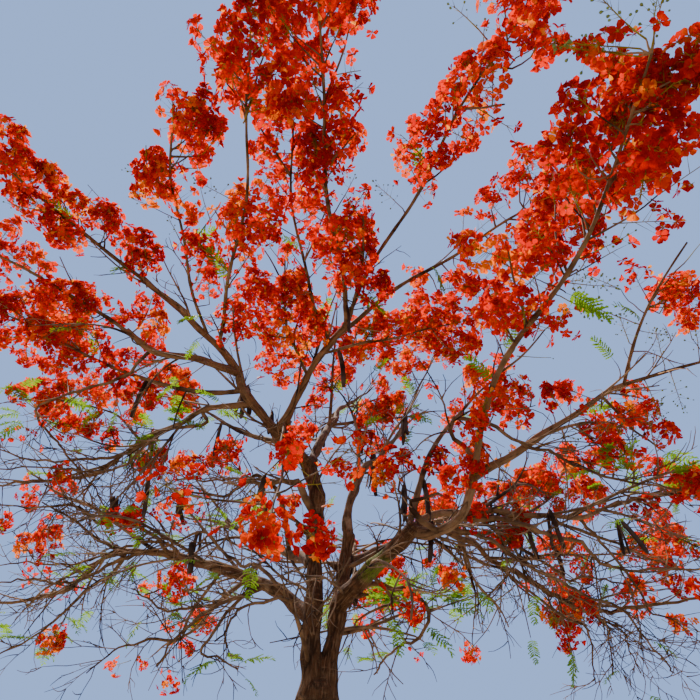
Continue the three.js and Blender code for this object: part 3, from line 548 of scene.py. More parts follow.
# More side shoots, each with a cluster round its tip, fill the inside of the crown: tips in tenths of a metre
fill = {"before": 0.2, "onward": 0.5, "lift": 0.3, "sway": 0.25, "tip": 0.18, "wander": 0.03, "step": 0.07,
        "radii": (0.0095, 0.005), "scales": (0.85, 1), "flowers": (34, 50)}
fillSizes = {"front_low": 0.55, "east_near": 0.6}  # nearest the camera the clusters are smaller
fillTips = {
    "south": ((-2, -41, 58), (1, -23, 54), (0, -38, 57), (3, -21, 54), (-2, -42, 58), (0, -32, 56), (2, -33, 56),
    (1, -31, 56)),
    "south_inner": ((-1, -16, 54), (-1, -31, 58)),
    "south_left": ((-7, -27, 55), (-10, -14, 55), (-10, -11, 55), (-6, -40, 56), (-2, -40, 57), (-4, -38, 54)),
    "southwest_inner": ((-13, -30, 56), (-14, -30, 57), (-9, -35, 57), (-8, -33, 57), (-10, -34, 57),
    (-12, -19, 57), (-12, -16, 57), (-9, -33, 57), (-10, -33, 58)),
    "centre": ((-6, -18, 55), (-3, -17, 54), (-4, -14, 53), (-7, -15, 53), (-1, -14, 53), (-5, -11, 52),
    (-3, -12, 52), (-5, -17, 54)),
    "south_right": ((3, -25, 55), (4, -22, 54), (2, -25, 55), (5, -20, 53), (8, -15, 53)),
    "south_east": ((15, -42, 53), (15, -43, 53)),
    "southeast": ((13, -19, 54), (18, -31, 57), (16, -28, 57), (15, -20, 52), (18, -24, 55)),
    "centre_east": ((8, -12, 55), (11, -12, 55), (5, -12, 55), (15, -11, 53)),
    "east_near": ((19, -44, 46), (20, -44, 45), (20, -42, 44), (17, -38, 46), (16, -37, 49), (18, -40, 46),
    (18, -42, 46), (19, -37, 45), (18, -44, 45), (13, -29, 42), (15, -28, 42), (13, -29, 44), (19, -33, 44),
    (18, -36, 48), (17, -34, 50), (19, -43, 45), (18, -41, 46), (15, -20, 41), (14, -15, 39), (11, -15, 36),
    (20, -46, 45), (21, -42, 43), (13, -19, 39), (15, -41, 44), (13, -15, 37)),
    "east_hanging": ((23, -17, 43), (25, -18, 43)),
    "east_inner": ((11, -7, 41), (19, -5, 52), (15, -6, 43), (7, -8, 41), (6, -7, 40)),
    "east_mid": ((42, 2, 42), (29, -1, 41), (40, 1, 43), (34, 0, 40)),
    "east_mid_up": ((19, -5, 42), (30, 7, 44), (26, 5, 45), (20, -1, 38), (35, 9, 50)),
    "east_low": ((29, 17, 32), (28, 17, 33), (30, 17, 33)),
    "east_low_up": ((44, 13, 41), (30, 10, 39), (42, 13, 41), (27, 10, 39)),
    "east_under": ((18, 19, 29),),
    "north_high": ((3, 18, 66),),
    "top": ((-1, 9, 52), (-1, 5, 58), (-3, 3, 60), (-3, 1, 63), (0, 9, 53), (4, 9, 53), (-2, 6, 56)),
    "northeast_high": ((8, 14, 61), (6, 14, 55), (6, 12, 59), (10, 15, 63), (8, 15, 60), (5, 12, 59)),
    "northwest_high": ((-13, 6, 50), (-19, 10, 50), (-12, 4, 55), (-25, 12, 51), (-15, 10, 51), (-12, 6, 51)),
    "north_low": ((8, 21, 42), (14, 43, 33)),
    "northeast": ((22, 23, 51),),
    "northeast_low": ((13, 17, 40), (21, 37, 32)),
    "west_low": ((-35, 18, 30),),
    "west_low_back": ((-14, 8, 34), (-17, 9, 34)),
    "west_mid": ((-21, 4, 47),),
    "west_mid_up": ((-22, 1, 48), (-37, 7, 59), (-35, 8, 55), (-41, 6, 59), (-32, 7, 54), (-39, 6, 59),
    (-38, 7, 57), (-24, 2, 52)),
    "west_over": ((-34, -13, 58), (-31, -11, 55), (-35, -10, 55), (-34, -12, 57), (-31, -11, 56), (-29, -9, 52),
    (-31, -12, 57), (-22, -7, 51), (-19, -9, 54), (-21, -8, 53)),
    "west_far": ((-28, -16, 56), (-25, -14, 55), (-18, -13, 54), (-18, -15, 57), (-26, -16, 56), (-24, -15, 56),
    (-25, -15, 56), (-27, -15, 55)),
    "southwest": ((-21, -23, 59), (-21, -24, 59), (-26, -27, 57), (-25, -26, 57), (-20, -21, 59), (-18, -19, 59),
    (-23, -25, 59), (-19, -18, 58), (-24, -27, 59), (-24, -24, 57)),
    "front_low": ((1, -26, 27),),
    "east_high_up": ((30, -23, 49), (32, -23, 49), (31, -23, 50)),
}
for mass in masses:
    for tip in np.reshape(fillTips.get(mass["short"], ()), (-1, 3)) / 10:
        share = max(0, shareNear(mass["course"], tip) - fill["before"] / mass["length"])
        start = pointAt(mass["course"], share)
        onward = headingAt(mass["course"], share) * fill["onward"]
        heading = unit(unit(tip - start) + onward + up * fill["lift"] + chance.normal(0, fill["sway"], 3))
        root = tip - heading * fill["tip"]
        middle = mix(start, root, 0.5) + chance.normal(0, fill["wander"], 3)
        course = smoothCourse([start, middle, root], fill["step"])
        stems.append((course, np.linspace(*fill["radii"], len(course))))
        size = fillSizes.get(mass["short"], 1)
        axes = leafAxes(heading, chance.uniform(0, math.pi))
        scale = chance.uniform(*fill["scales"]) * size
        addSpray(root, axes, scale, int(chance.uniform(*fill["flowers"]) * size))
print(len(flowers), "flowers,", len(buds), "buds")

# A twig is kept where flowers, buds or leaves grew near its tip
dressed = {"reach": 0.22, "others": 2, "touch": 0.01}
grown = [row[0] for row in flowers + buds + leaves]
grown = np.array(grown + [spray["root"] for spray in sprays if spray["mass"]["isLeafy"]])


def isDressed(tip):
    gaps = np.linalg.norm(grown - tip, axis=1)
    return np.count_nonzero(gaps < dressed["reach"]) > dressed["others"] or gaps.min() < dressed["touch"]


stems = [row for row in stems if isDressed(row[0][-1])]
blossomStems = len(stems)

# Long crooked branches sweep out from the low boughs: the bough, where along it each leaves, its radius,
# and the points it passes, in twentieths of a metre
sweeps = (
    ("bough_west_low", 0.97, 0.024, ((-63, 27, 70), (-71, 30, 69), (-79, 32, 68), (-87, 33, 69))),
    ("bough_west_low", 0.72, 0.017, ((-49, 18, 74), (-58, 22, 71), (-66, 25, 71), (-74, 26, 72), (-84, 28, 71))),
    ("bough_west_low", 0.62, 0.016, ((-39, 9, 77), (-46, 6, 79), (-50, 5, 78), (-53, 4, 80), (-55, 2, 81),
    (-60, 1, 80), (-65, 1, 80), (-72, -1, 80))),
    ("bough_west_low", 0.8, 0.016, ((-52, 16, 77), (-57, 13, 80), (-62, 12, 83), (-67, 10, 85))),
    ("bough_west_low", 0.82, 0.018, ((-50, 19, 71), (-54, 20, 69), (-59, 22, 65), (-62, 23, 62), (-67, 25, 59),
    (-75, 26, 55))),
    ("bough_west_low", 0.55, 0.014, ((-37, 11, 76), (-44, 13, 76), (-51, 16, 75), (-57, 19, 74), (-65, 21, 74),
    (-75, 23, 75), (-84, 26, 75))),
    ("bough_west_low", 0.22, 0.02, ((-15, 6, 64), (-18, 7, 63), (-23, 7, 61), (-27, 8, 58), (-30, 9, 55),
    (-33, 11, 51))),
    ("bough_west_low", 0.3, 0.015, ((-24, 16, 64), (-32, 20, 64), (-37, 22, 64), (-42, 22, 67), (-46, 23, 69))),
    ("bough_west_low", 0.4, 0.014, ((-29, 14, 61), (-31, 17, 57), (-36, 16, 57), (-40, 16, 56), (-44, 17, 55),
    (-47, 18, 53), (-50, 19, 51))),
    ("bough_west_low", 0.26, 0.014, ((-19, 8, 61), (-23, 8, 55), (-24, 9, 53), (-20, 8, 52), (-16, 7, 50))),
    ("bough_west_low", 0.1, 0.014, ((-13, 2, 68), (-17, 3, 68), (-21, 3, 71), (-24, 3, 74), (-27, 3, 75),
    (-32, 5, 74), (-35, 7, 73), (-42, 9, 73), (-51, 12, 73))),
    ("bough_west_mid", 0.97, 0.024, ((-57, 10, 92), (-65, 13, 92), (-74, 14, 92), (-87, 17, 92))),
    ("bough_west_mid", 0.55, 0.017, ((-41, 0, 96), (-47, 3, 94), (-53, 5, 94), (-58, 6, 94), (-65, 7, 94),
    (-72, 8, 95), (-76, 7, 96), (-83, 8, 98))),
    ("bough_west_mid", 0.3, 0.015, ((-27, -6, 97), (-34, -5, 96), (-39, -4, 94), (-44, -1, 90), (-50, 0, 88),
    (-57, -1, 88), (-66, -2, 88), (-75, -2, 87))),
    ("bough_west_far", 0.75, 0.013, ((-42, -18, 102), (-50, -15, 101), (-57, -13, 100), (-64, -10, 98),
    (-61, -5, 94), (-59, -3, 92), (-55, 2, 88), (-53, 4, 86), (-51, 8, 83), (-48, 11, 80))),
    ("bough_northwest", 0.25, 0.02, ((-11, 10, 86), (-16, 8, 91), (-19, 10, 90), (-22, 12, 89), (-26, 14, 88),
    (-31, 14, 89), (-37, 15, 89), (-43, 18, 88))),
    ("bough_northwest", 0.35, 0.016, ((-17, 18, 91), (-19, 17, 94), (-26, 19, 95), (-33, 22, 96), (-40, 23, 97),
    (-46, 27, 96))),
    ("stem_west", 0.72, 0.03, ((-5, -3, 83), (-7, -3, 84), (-11, -3, 84), (-14, -2, 84), (-17, -3, 85))),
    ("stem_west", 0.1, 0.014, ((-5, -10, 58), (-10, -10, 58), (-14, -10, 57), (-16, -8, 54), (-18, -8, 52))),
    ("bough_east_mid", 0.98, 0.019, ((68, -1, 81), (74, -1, 82), (86, 1, 84))),
    ("bough_east_mid", 0.22, 0.022, ((28, -10, 73), (34, -8, 74), (41, -7, 73), (46, -4, 72), (53, -2, 71),
    (57, 2, 69), (62, 4, 68), (70, 5, 68), (82, 7, 69))),
    ("bough_east_mid", 0.62, 0.017, ((47, -1, 77), (52, 1, 76), (59, 5, 75), (66, 8, 74), (74, 12, 72),
    (83, 16, 71))),
    ("bough_east_low", 0.97, 0.026, ((52, 26, 70), (56, 25, 67), (59, 25, 65), (64, 23, 64), (68, 20, 64),
    (75, 16, 64), (81, 11, 64))),
    ("bough_east_low", 0.3, 0.014, ((34, 0, 74), (39, 3, 73), (43, 5, 72), (49, 9, 70), (54, 13, 68), (59, 14, 69),
    (65, 17, 69), (73, 19, 69), (83, 21, 72))),
    ("bough_east_low", 0.18, 0.016, ((28, -7, 72), (33, -5, 71), (39, -2, 68), (45, 1, 66), (51, 4, 64),
    (55, 6, 63), (62, 8, 61), (66, 12, 57), (72, 17, 53), (74, 19, 51))),
    ("bough_east_low", 0.45, 0.013, ((29, 6, 72), (35, 10, 71), (40, 13, 70), (43, 16, 68), (48, 20, 66),
    (52, 24, 64))),
    ("bough_east_low", 0.75, 0.012, ((53, 21, 63), (59, 22, 60), (60, 26, 53), (60, 27, 50))),
    ("bough_east_low", 0.9, 0.013, ((57, 21, 65), (62, 20, 61), (63, 21, 58), (62, 22, 51))),
    ("bough_east_low", 0.97, 0.012, ((55, 24, 67), (65, 20, 60), (66, 20, 57), (67, 19, 51))),
    ("bough_east_mid", 0.8, 0.012, ((59, 3, 73), (68, 11, 66), (71, 15, 62), (77, 17, 61), (84, 20, 59))),
    ("bough_east_rise", 0.93, 0.015, ((26, -30, 77), (23, -32, 79), (23, -34, 81), (26, -34, 81), (30, -34, 80),
    (33, -33, 78), (36, -32, 77), (39, -32, 76), (43, -31, 74), (47, -30, 73), (52, -29, 72), (58, -29, 71),
    (64, -29, 70))),
    ("bough_east_rise", 0.3, 0.02, ((17, -22, 69), (16, -24, 71), (18, -24, 71), (20, -25, 72), (22, -25, 71))),
    ("bough_northeast", 0.45, 0.014, ((21, 19, 89), (18, 18, 92), (21, 16, 96), (30, 17, 96))),
    ("bough_east", 0.45, 0.013, ((14, 1, 61), (10, 5, 60), (6, 10, 58), (3, 17, 54))),
    ("bough_east", 0.3, 0.018, ((16, 1, 63), (22, 9, 61), (20, 16, 57), (16, 20, 56), (13, 24, 54), (11, 28, 52))),
)

# They and the boughs carry a tangle of bare twigs
bare = {
    "branches": {  # for each limb, how many branches, how long, and how far they rise or droop
        "bough_west_low": (7, 1.5, -0.08), "bough_northwest": (9, 1.7, -0.05), "bough_west_mid": (5, 1.4, -0.05),
        "bough_west_far": (6, 1.2, -0.1), "bough_southwest": (3, 0.8, 0), "bough_west_rise": (4, 1.2, 0),
        "bough_east_low": (5, 1.5, -0.05), "bough_east_mid": (6, 1.4, -0.05), "bough_north": (9, 1.6, -0.15),
        "bough_northeast": (9, 1.6, -0.05), "bough_east": (4, 1.2, 0), "bough_east_high": (4, 1.0, -0.1),
        "bough_north_high": (7, 1.3, 0), "bough_east_top": (7, 1.3, 0), "stem_west": (5, 1.3, -0.1),
        "stem_east": (4, 1.2, -0.1), "bough_centre": (3, 0.8, 0)},
    "thickness": 0.02,
    "thinnest": 0.0052,
    "taper": 0.42,
    "kink": (0.05, 0.12, 0.17),
    "curl": (0.09, 0.14, 0.2),
    "stepLength": 0.11,
    "margin": 0.04,
    "turnChance": 0.25,
    "bends": (0.2, 1.3),
    "shares": (0.14, 0.97),
    "lean": (20, 48),
    "spurLean": (30, 65),
    "childShares": (0.12, 0.97),
    "childRadius": 0.66,
    "childEvery": (0.19, 0.18),
    "childLength": (0.3, 0.62),
    "longestChild": 0.85,
    "shortestChild": 0.14,
    "splay": (24, 58),
    "spurRadius": 0.0078,
    "spurLengths": (0.2, 0.5),
}
bareTwigs, sweepRows = [], []


def splayedAt(course, share, low, high):
    splay = math.radians(chance.uniform(low, high))
    return splayed(headingAt(course, share), splay, chance.uniform(0, 2 * math.pi))


def growBranch(start, heading, length, radius, level, rise=0.0):
    count = max(4, round(length / bare["stepLength"]))
    side = unit(np.cross(heading, up + chance.normal(0, 0.3, 3)))
    curl = chance.normal(0, bare["curl"][level], 3)
    points = [start]
    for step in range(count):
        if chance.random() < bare["turnChance"]:
            curl = chance.normal(0, bare["curl"][level], 3)
        bend = side * bare["kink"][level] * (1 if step % 2 else -1) * chance.uniform(*bare["bends"])
        heading = unit(heading + bend + curl + up * rise * 0.25)
        points.append(points[-1] + heading * length / count)
    points = np.array(points)
    if not inReach(points, bare["margin"]):
        return
    radii = radius * np.linspace(1, bare["taper"], len(points)) * chance.uniform(0.92, 1.08, len(points))
    stems.append((points, radii))
    if level < 2:
        bareTwigs.append(points)
        if level == 0 or length > 0.3:
            growTwigs(points, length, radius, level, rise)


def growTwigs(points, length, radius, level, rise):
    for _ in range(round(length * chance.uniform(0.8, 1.2) / bare["childEvery"][level])):
        share = chance.uniform(*bare["childShares"])
        branch = splayedAt(points, share, *bare["splay"])
        size = length * chance.uniform(*bare["childLength"]) * mix(1, 0.6, share)
        size = min(max(bare["shortestChild"], size), bare["longestChild"])
        child = max(bare["thinnest"], radius * mix(1, 0.45, share) * bare["childRadius"])
        growBranch(pointAt(points, share), branch, size, child, level + 1, rise)


for host, share, radius, points in sweeps:
    start = pointAt(limbs[host]["course"], share)
    course = smoothCourse([start, *np.array(points) / 20], 0.1)
    course[1:-1] += chance.normal(0, 0.009, (len(course) - 2, 3))
    radii = radius * np.linspace(1.45, 0.5, len(course)) * chance.uniform(0.93, 1.08, len(course))
    sweepRows.append((course, radii))
    bareTwigs.append(course)
    growTwigs(course, np.linalg.norm(np.diff(course, axis=0), axis=1).sum(), radius, 0, -0.05)
for name, (count, size, rise) in bare["branches"].items():
    course = limbs[name]["course"]
    for index in range(count):
        share = mix(*bare["shares"], (index + chance.random()) / count)
        heading = unit(splayedAt(course, share, *bare["lean"]) * (1, 1, 0.6) + up * rise)
        length = size * chance.uniform(0.5, 1.15)
        growBranch(pointAt(course, share), heading, length, bare["thickness"] * (0.45 + 0.4 * length), 0, rise)
for mass in masses:
    for _ in range(2):
        share = chance.uniform(0.08, mass["bare"] + 0.05)
        heading = splayedAt(mass["course"], share, *bare["spurLean"])
        length = chance.uniform(*bare["spurLengths"])
        growBranch(pointAt(mass["course"], share), heading, length, bare["spurRadius"], 1)

# Feathery leaves are few: all over the one leafy mass, on some bare twigs, and at the foot of each shoot's blossom
leafy = {"perSpray": 7, "everyTwig": 14, "onSpray": (0.34, 0.46), "onTwig": (0.2, 0.34), "onShoot": (0.24, 0.36)}
for spray in sprays:
    if spray["mass"]["isLeafy"]:
        for _ in range(leafy["perSpray"]):
            along = unit(spray["axes"][0] + chance.normal(0, 0.5, 3))
            leaves.append((spray["root"], along, chance.uniform(*leafy["onSpray"])))
for twig in bareTwigs[:: leafy["everyTwig"]]:
    along = unit(headingAt(twig, 0.95) + up * 0.1)
    if inReach(twig[-1] + along * 0.3, 0.02):
        leaves.append((twig[-1], along, chance.uniform(*leafy["onTwig"])))
for mass in masses:
    share = mass["bare"] + chance.uniform(-0.06, 0.2)
    heading = headingAt(mass["course"], share)
    along = unit(splayed(heading, chance.uniform(0.8, 1.3), chance.uniform(0, 6.28)) + up * 0.2)
    leaves.append((pointAt(mass["course"], share), along, chance.uniform(*leafy["onShoot"])))

# Leaves, sprays of buds and small clusters that stand in the open, each on a twig from the nearest wood:
# tips in tenths of a metre
standing = {
    "leaf": ((-35, -7, 51), (-33, -6, 50), (-35, -5, 49), (-31, -4, 48), (-34, -4, 47), (-29, -6, 49),
    (-21, -1, 50), (-19, -1, 48), (-17, -2, 49), (-15, -3, 50), (-13, -4, 50), (-22, 1, 48), (-17, -5, 50),
    (-25, 4, 41), (-20, 10, 34), (-18, 10, 33), (-16, 8, 34), (-17, 10, 32), (-14, 8, 33), (-35, 12, 30),
    (-31, 13, 29), (-32, 14, 28), (-29, 12, 31), (-36, 11, 30), (-10, 4, 26), (-8, 3, 26), (-15, 17, 44),
    (-14, 16, 46), (6, 12, 27), (7, 11, 28), (24, -15, 37), (25, -16, 37), (29, -2, 42), (32, -11, 41),
    (30, -16, 37), (18, -31, 41), (23, -22, 48), (-22, 8, 37), (-24, 9, 36), (-28, 9, 37), (-26, 10, 36),
    (11, 12, 58), (17, 10, 34), (35, 3, 38)),
    "bud": ((17, -32, 42), (18, -32, 41), (24, -23, 49), (17, -31, 41), (27, -20, 46), (28, -21, 47), (30, -19, 46),
    (31, -18, 45), (33, -19, 46), (29, -17, 43), (25, -16, 38), (29, -13, 41), (30, -14, 42), (26, -15, 37),
    (15, -45, 45), (16, -45, 45), (16, -46, 45), (18, -46, 46), (-9, -28, 56), (-14, -30, 56), (7, -27, 56),
    (29, 1, 35), (21, -15, 40), (22, 10, 33), (-28, 9, 37), (-25, 8, 38), (-38, 16, 34)),
    "bloom": ((40, 3, 35), (-3, -31, 58), (-37, 10, 39), (-3, -4, 47), (-32, 7, 40), (-21, 3, 39), (-15, 10, 49),
    (5, -11, 54), (40, 4, 33), (-30, -4, 48), (11, -39, 55), (-14, -28, 56), (29, 13, 33), (41, 10, 30),
    (21, -17, 42), (27, 11, 34), (29, -1, 40), (3, -17, 54), (-32, -21, 60), (29, 10, 31), (-5, -25, 55),
    (-13, 9, 49), (-34, -6, 50), (8, 14, 62), (17, -17, 40), (2, 2, 45), (15, -4, 36), (12, -44, 55), (-4, -37, 54),
    (-4, -2, 43), (5, 12, 58), (18, -28, 58), (39, 6, 37), (-26, -31, 58), (17, -6, 52), (-6, -17, 54),
    (-7, -6, 54), (17, 0, 37), (41, 8, 35), (-3, -9, 51), (7, -1, 32), (6, -12, 55), (-38, 7, 57), (30, 11, 38),
    (-24, 15, 62), (-23, -14, 55), (14, -32, 43), (8, 15, 60), (18, -2, 35), (7, 30, 38), (4, -25, 55), (31, 8, 48),
    (8, 0, 31), (28, 11, 30), (-26, 2, 48), (-29, -3, 47), (0, -37, 55), (-3, -16, 37), (-33, 9, 39), (-20, 2, 40),
    (-31, 6, 54), (17, -25, 56), (35, 9, 33), (22, -4, 54), (14, -20, 55), (-5, -29, 55), (27, -17, 43),
    (17, -45, 45), (14, -23, 40), (15, -42, 52), (15, 7, 34), (-17, 8, 34), (-33, 13, 29), (16, -26, 57),
    (29, -15, 36), (31, -12, 41), (-18, -18, 59), (-29, 0, 44), (-23, -22, 57), (-12, -29, 56), (-15, 5, 33),
    (29, 15, 34), (-31, 12, 30), (-35, 7, 46), (30, -14, 42), (-37, 7, 45), (-23, 3, 39), (43, 22, 36),
    (24, -16, 37), (38, 19, 35), (19, -25, 55), (-3, 4, 50), (-19, -14, 56), (10, 8, 49), (-5, -14, 53),
    (10, -34, 55), (9, -33, 56), (-11, -32, 56), (-12, -30, 56), (-35, 10, 39), (-33, -9, 54), (-41, 10, 42),
    (18, -30, 58), (11, -35, 55), (33, -21, 48), (19, -44, 44), (-13, -30, 57)),
}
wood = [limb["course"] for limb in [*limbs.values(), *masses]] + [course for course, radii in sweepRows]
wood = np.vstack([smoothCourse(course, 0.05) for course in wood])
stand = {"tip": 0.12, "shortest": 0.05, "bend": (0.03, 0.13), "radii": (0.007, 0.004), "leaves": (0.22, 0.36),
         "budScale": 0.9, "buds": 16, "bloomScales": (0.6, 0.75), "blooms": 26}
for kind, places in standing.items():
    for place in np.array(places) / 10:
        start = wood[np.linalg.norm(wood - place, axis=1).argmin()]
        heading = unit(unit(place - start + chance.normal(0, 0.02, 3)) + up * 0.15)
        length = max(np.linalg.norm(place - start) - stand["tip"], stand["shortest"])
        twig = bentTwig(start, heading, length, 5, *stand["bend"])
        stems.append((twig, np.linspace(*stand["radii"], 6)))
        if kind == "leaf":
            for _ in range(2):
                along = unit(heading * (1, 1, 0.4) + chance.normal(0, 0.5, 3) * (1, 1, 0.5))
                if inReach(twig[-1] + along * 0.4, 0.02):
                    leaves.append((twig[-1], along, chance.uniform(*stand["leaves"])))
            continue
        axes = leafAxes(heading, chance.uniform(0, math.pi))
        if kind == "bud":
            addSpray(twig[-1], axes, stand["budScale"], stand["buds"], True, True)
        else:
            addSpray(twig[-1], axes, chance.uniform(*stand["bloomScales"]), stand["blooms"], False, True)

# More pods hang from the bare twigs, one to four together
hung = {"most": 62, "shares": (0.25, 0.8), "above": 3.0, "within": (0.8, 3.4), "lengths": (0.26, 0.44),
        "apart": 0.06, "tilt": 0.14}
for index in chance.permutation(len(bareTwigs)):
    if len(pods) >= hung["most"]:
        break
    share = chance.uniform(*hung["shares"])
    root = pointAt(bareTwigs[index], share)
    if root[2] > hung["above"] and np.hypot(root[0], root[1]) < chance.uniform(*hung["within"]):
        for step in range(chance.integers(1, 5)):
            hanging = unit(chance.normal(0, hung["tilt"], 3) - up)
            place = pointAt(bareTwigs[index], min(share + hung["apart"] * step, 0.95))
            axes = leafAxes(hanging, chance.uniform(0, math.pi))
            pods.append({"root": place, "axes": axes, "length": chance.uniform(*hung["lengths"])})
print(len(stems), "twigs,", len(leaves), "feathery leaves,", len(pods), "pods")


# Meshes from arrays, one object for each kind
def addMesh(name, points, faces):
    mesh = bpy.data.meshes.new(name)
    points, faces = np.asarray(points, np.float32), np.asarray(faces, np.int32)
    mesh.vertices.add(len(points))
    mesh.vertices.foreach_set("co", points.ravel())
    mesh.loops.add(faces.size)
    mesh.loops.foreach_set("vertex_index", faces.ravel())
    mesh.polygons.add(len(faces))
    mesh.polygons.foreach_set("loop_start", np.arange(len(faces), dtype=np.int32) * faces.shape[1])
    mesh.polygons.foreach_set("use_smooth", np.ones(len(faces), bool))
    mesh.update(calc_edges=True)
    piece = bpy.data.objects.new(name, mesh)
    bpy.context.scene.collection.objects.link(piece)
    return piece


def triangles(piece):
    piece.data.calc_loop_triangles()
    return len(piece.data.loop_triangles)


def modelArrays(model):  # the points and triangles of a modelled shape, which is then removed
    mesh = model.data
    mesh.calc_loop_triangles()
    points = np.zeros(len(mesh.vertices) * 3)
    mesh.vertices.foreach_get("co", points)
    faces = np.zeros(len(mesh.loop_triangles) * 3, np.int32)
    mesh.loop_triangles.foreach_get("vertices", faces)
    bpy.data.objects.remove(model)
    return points.reshape(-1, 3), faces.reshape(-1, 3)


def pickOnly(*pieces):  # the last one leads
    bpy.ops.object.select_all(action="DESELECT")
    for piece in pieces:
        piece.select_set(True)
    bpy.context.view_layer.objects.active = pieces[-1]


def editModel(model, action, chooser=None):  # works on the vertices that chooser picks, or else on all
    pickOnly(model)
    bpy.ops.object.mode_set(mode="EDIT")
    bpy.ops.mesh.select_mode(type="VERT")
    bpy.ops.mesh.select_all(action="DESELECT")
    bpy.ops.object.mode_set(mode="OBJECT")
    for vertex in model.data.vertices:
        vertex.select = chooser is None or bool(chooser(vertex.co))
    bpy.ops.object.mode_set(mode="EDIT")
    action()
    bpy.ops.object.mode_set(mode="OBJECT")


def shift(model, x, y, z, chooser=None):
    editModel(model, lambda: bpy.ops.transform.translate(value=(x, y, z)), chooser)


def resize(model, x, y):
    editModel(model, lambda: bpy.ops.transform.resize(value=(x, y, 1), center_override=(0, 0, 0)))


def cutLevel(model, height, **choices):
    editModel(model, lambda: bpy.ops.mesh.bisect(plane_co=(0, 0, height), plane_no=(0, 0, 1), **choices))


def applied(model):
    pickOnly(model)
    bpy.ops.object.transform_apply(location=True, rotation=True, scale=True)
    return model


def frames(forward, spin):  # turns local +Z to forward, for each row
    forward = unit(np.asarray(forward, float))
    other = np.where(np.abs(forward[:, 2:3]) > 0.9, np.array([[1.0, 0, 0]]), up[None])
    right = unit(np.cross(other, forward))
    ahead = np.cross(forward, right)
    spin = np.asarray(spin)[:, None]
    cosine, sine = np.cos(spin), np.sin(spin)
    return np.stack([right * cosine + ahead * sine, ahead * cosine - right * sine, forward], 2)


def copies(shape, turns, places, scales):
    points, faces = shape
    scales = np.asarray(scales, float)
    scales = scales[:, None] * np.ones(3) if scales.ndim == 1 else scales
    moved = np.einsum("nij,nvj->nvi", turns, points[None] * scales[:, None, :]) + np.asarray(places)[:, None, :]
    steps = np.arange(len(places))[:, None, None] * len(points)
    return moved.reshape(-1, 3), (faces[None] + steps).reshape(-1, 3)


def joined(parts):
    points, faces, count = [], [], 0
    for part in parts:
        points.append(part[0])
        faces.append(part[1] + count)
        count += len(part[0])
    return np.vstack(points), np.vstack(faces)


def tubes(courses, sides, capped=True):  # tapered tubes along many short courses
    points, faces, count = [], [], 0
    angle = np.arange(sides) * 2 * math.pi / sides
    for course, radii in courses:
        along = unit(np.gradient(course, axis=0))
        side = np.eye(3)[np.abs(along.mean(0)).argmin()]
        across = unit(side - along * (along @ side)[:, None])
        outward = np.cross(along, across)
        ring = across[:, None] * np.cos(angle)[None, :, None] + outward[:, None] * np.sin(angle)[None, :, None]
        points.append((course[:, None] + ring * np.asarray(radii)[:, None, None]).reshape(-1, 3))
        rings = np.arange(len(course) - 1)[:, None] * sides
        here, after = np.arange(sides), (np.arange(sides) + 1) % sides
        quads = np.stack([rings + here, rings + after, rings + sides + after, rings + sides + here], 2).reshape(-1, 4)
        faces.append(np.vstack([quads[:, [0, 1, 2]], quads[:, [0, 2, 3]]]) + count)
        last = count + (len(course) - 1) * sides
        if capped:
            fan = [(last, last + k, last + k + 1) for k in range(1, sides - 1)]
            fan += [(count, count + k + 1, count + k) for k in range(1, sides - 1)]
            faces.append(np.array(fan))
        count += len(course) * sides
    return np.vstack(points), np.vstack(faces)


# Petal: a round spoon on a narrow claw, with a crinkled rim. It points along +X and faces +Z.
petalShape = {"length": 0.052, "width": 0.037, "blade": 0.64, "cup": 0.008, "crinkle": 0.0034}
paleShape = {"length": 0.05, "width": 0.026, "blade": 0.6, "cup": -0.006, "crinkle": 0.002}
petalFan = {"sides": 6, "widen": 1.12, "clawEnd": 0.004, "rimFrom": 0.02, "middle": 1e-4, "paleOpening": 48}
flowerKinds = [  # how far each petal opens from the flat, in degrees
    (18, 4, 10, 22, 12), (-14, 8, -4, 26, 2), (48, 40, 32, 54, 44), (2, -20, 14, -10), (30, 22, 8, 34),
]


def modelPetal(seed, shape):  # four triangles that spread from the claw, folded along the middle
    bpy.ops.mesh.primitive_circle_add(
        vertices=petalFan["sides"], radius=1, fill_type="TRIFAN", rotation=(0, 0, math.pi / 2))
    petal = applied(bpy.context.object)
    editModel(petal, lambda: bpy.ops.mesh.merge(type="COLLAPSE"), lambda co: co.x < 0.1 and abs(co.y) < 0.1)
    span = shape["length"] * shape["blade"] / 2
    resize(petal, span, shape["width"] / 2 * petalFan["widen"])
    shift(petal, shape["length"] - span, 0, 0)
    middle = petalFan["middle"]
    claw = min(vertex.co.x for vertex in petal.data.vertices if abs(vertex.co.y) < middle)
    shift(petal, petalFan["clawEnd"] - claw, 0, 0, lambda co: co.x < claw + middle and abs(co.y) < middle)
    shift(petal, 0, 0, shape["cup"], lambda co: abs(co.y) > middle)
    editModel(petal, lambda: bpy.ops.transform.vertex_random(offset=shape["crinkle"], seed=seed),
              lambda co: co.x > petalFan["rimFrom"])
    return modelArrays(petal)


def turnAbout(axis, degrees):
    cosine, sine = math.cos(math.radians(degrees)), math.sin(math.radians(degrees))
    if axis == "z":
        return np.array([[cosine, -sine, 0], [sine, cosine, 0], [0, 0, 1]])
    return np.array([[cosine, 0, sine], [0, 1, 0], [-sine, 0, cosine]])


def modelFlower(seed, openings):  # four petals leave room for the pale standard
    parts = []
    for index, opening in enumerate(openings):
        points, faces = modelPetal(seed * 10 + index, petalShape)
        around = 72 * (index + 1) + chance.uniform(-9, 9)
        parts.append((points @ (turnAbout("z", around) @ turnAbout("y", -opening)).T, faces))
    return joined(parts)


flowerModels = [modelFlower(seed, openings) for seed, openings in enumerate(flowerKinds, 1)]
points, faces = modelPetal(91, paleShape)
paleModel = (points @ turnAbout("y", -petalFan["paleOpening"]).T, faces)

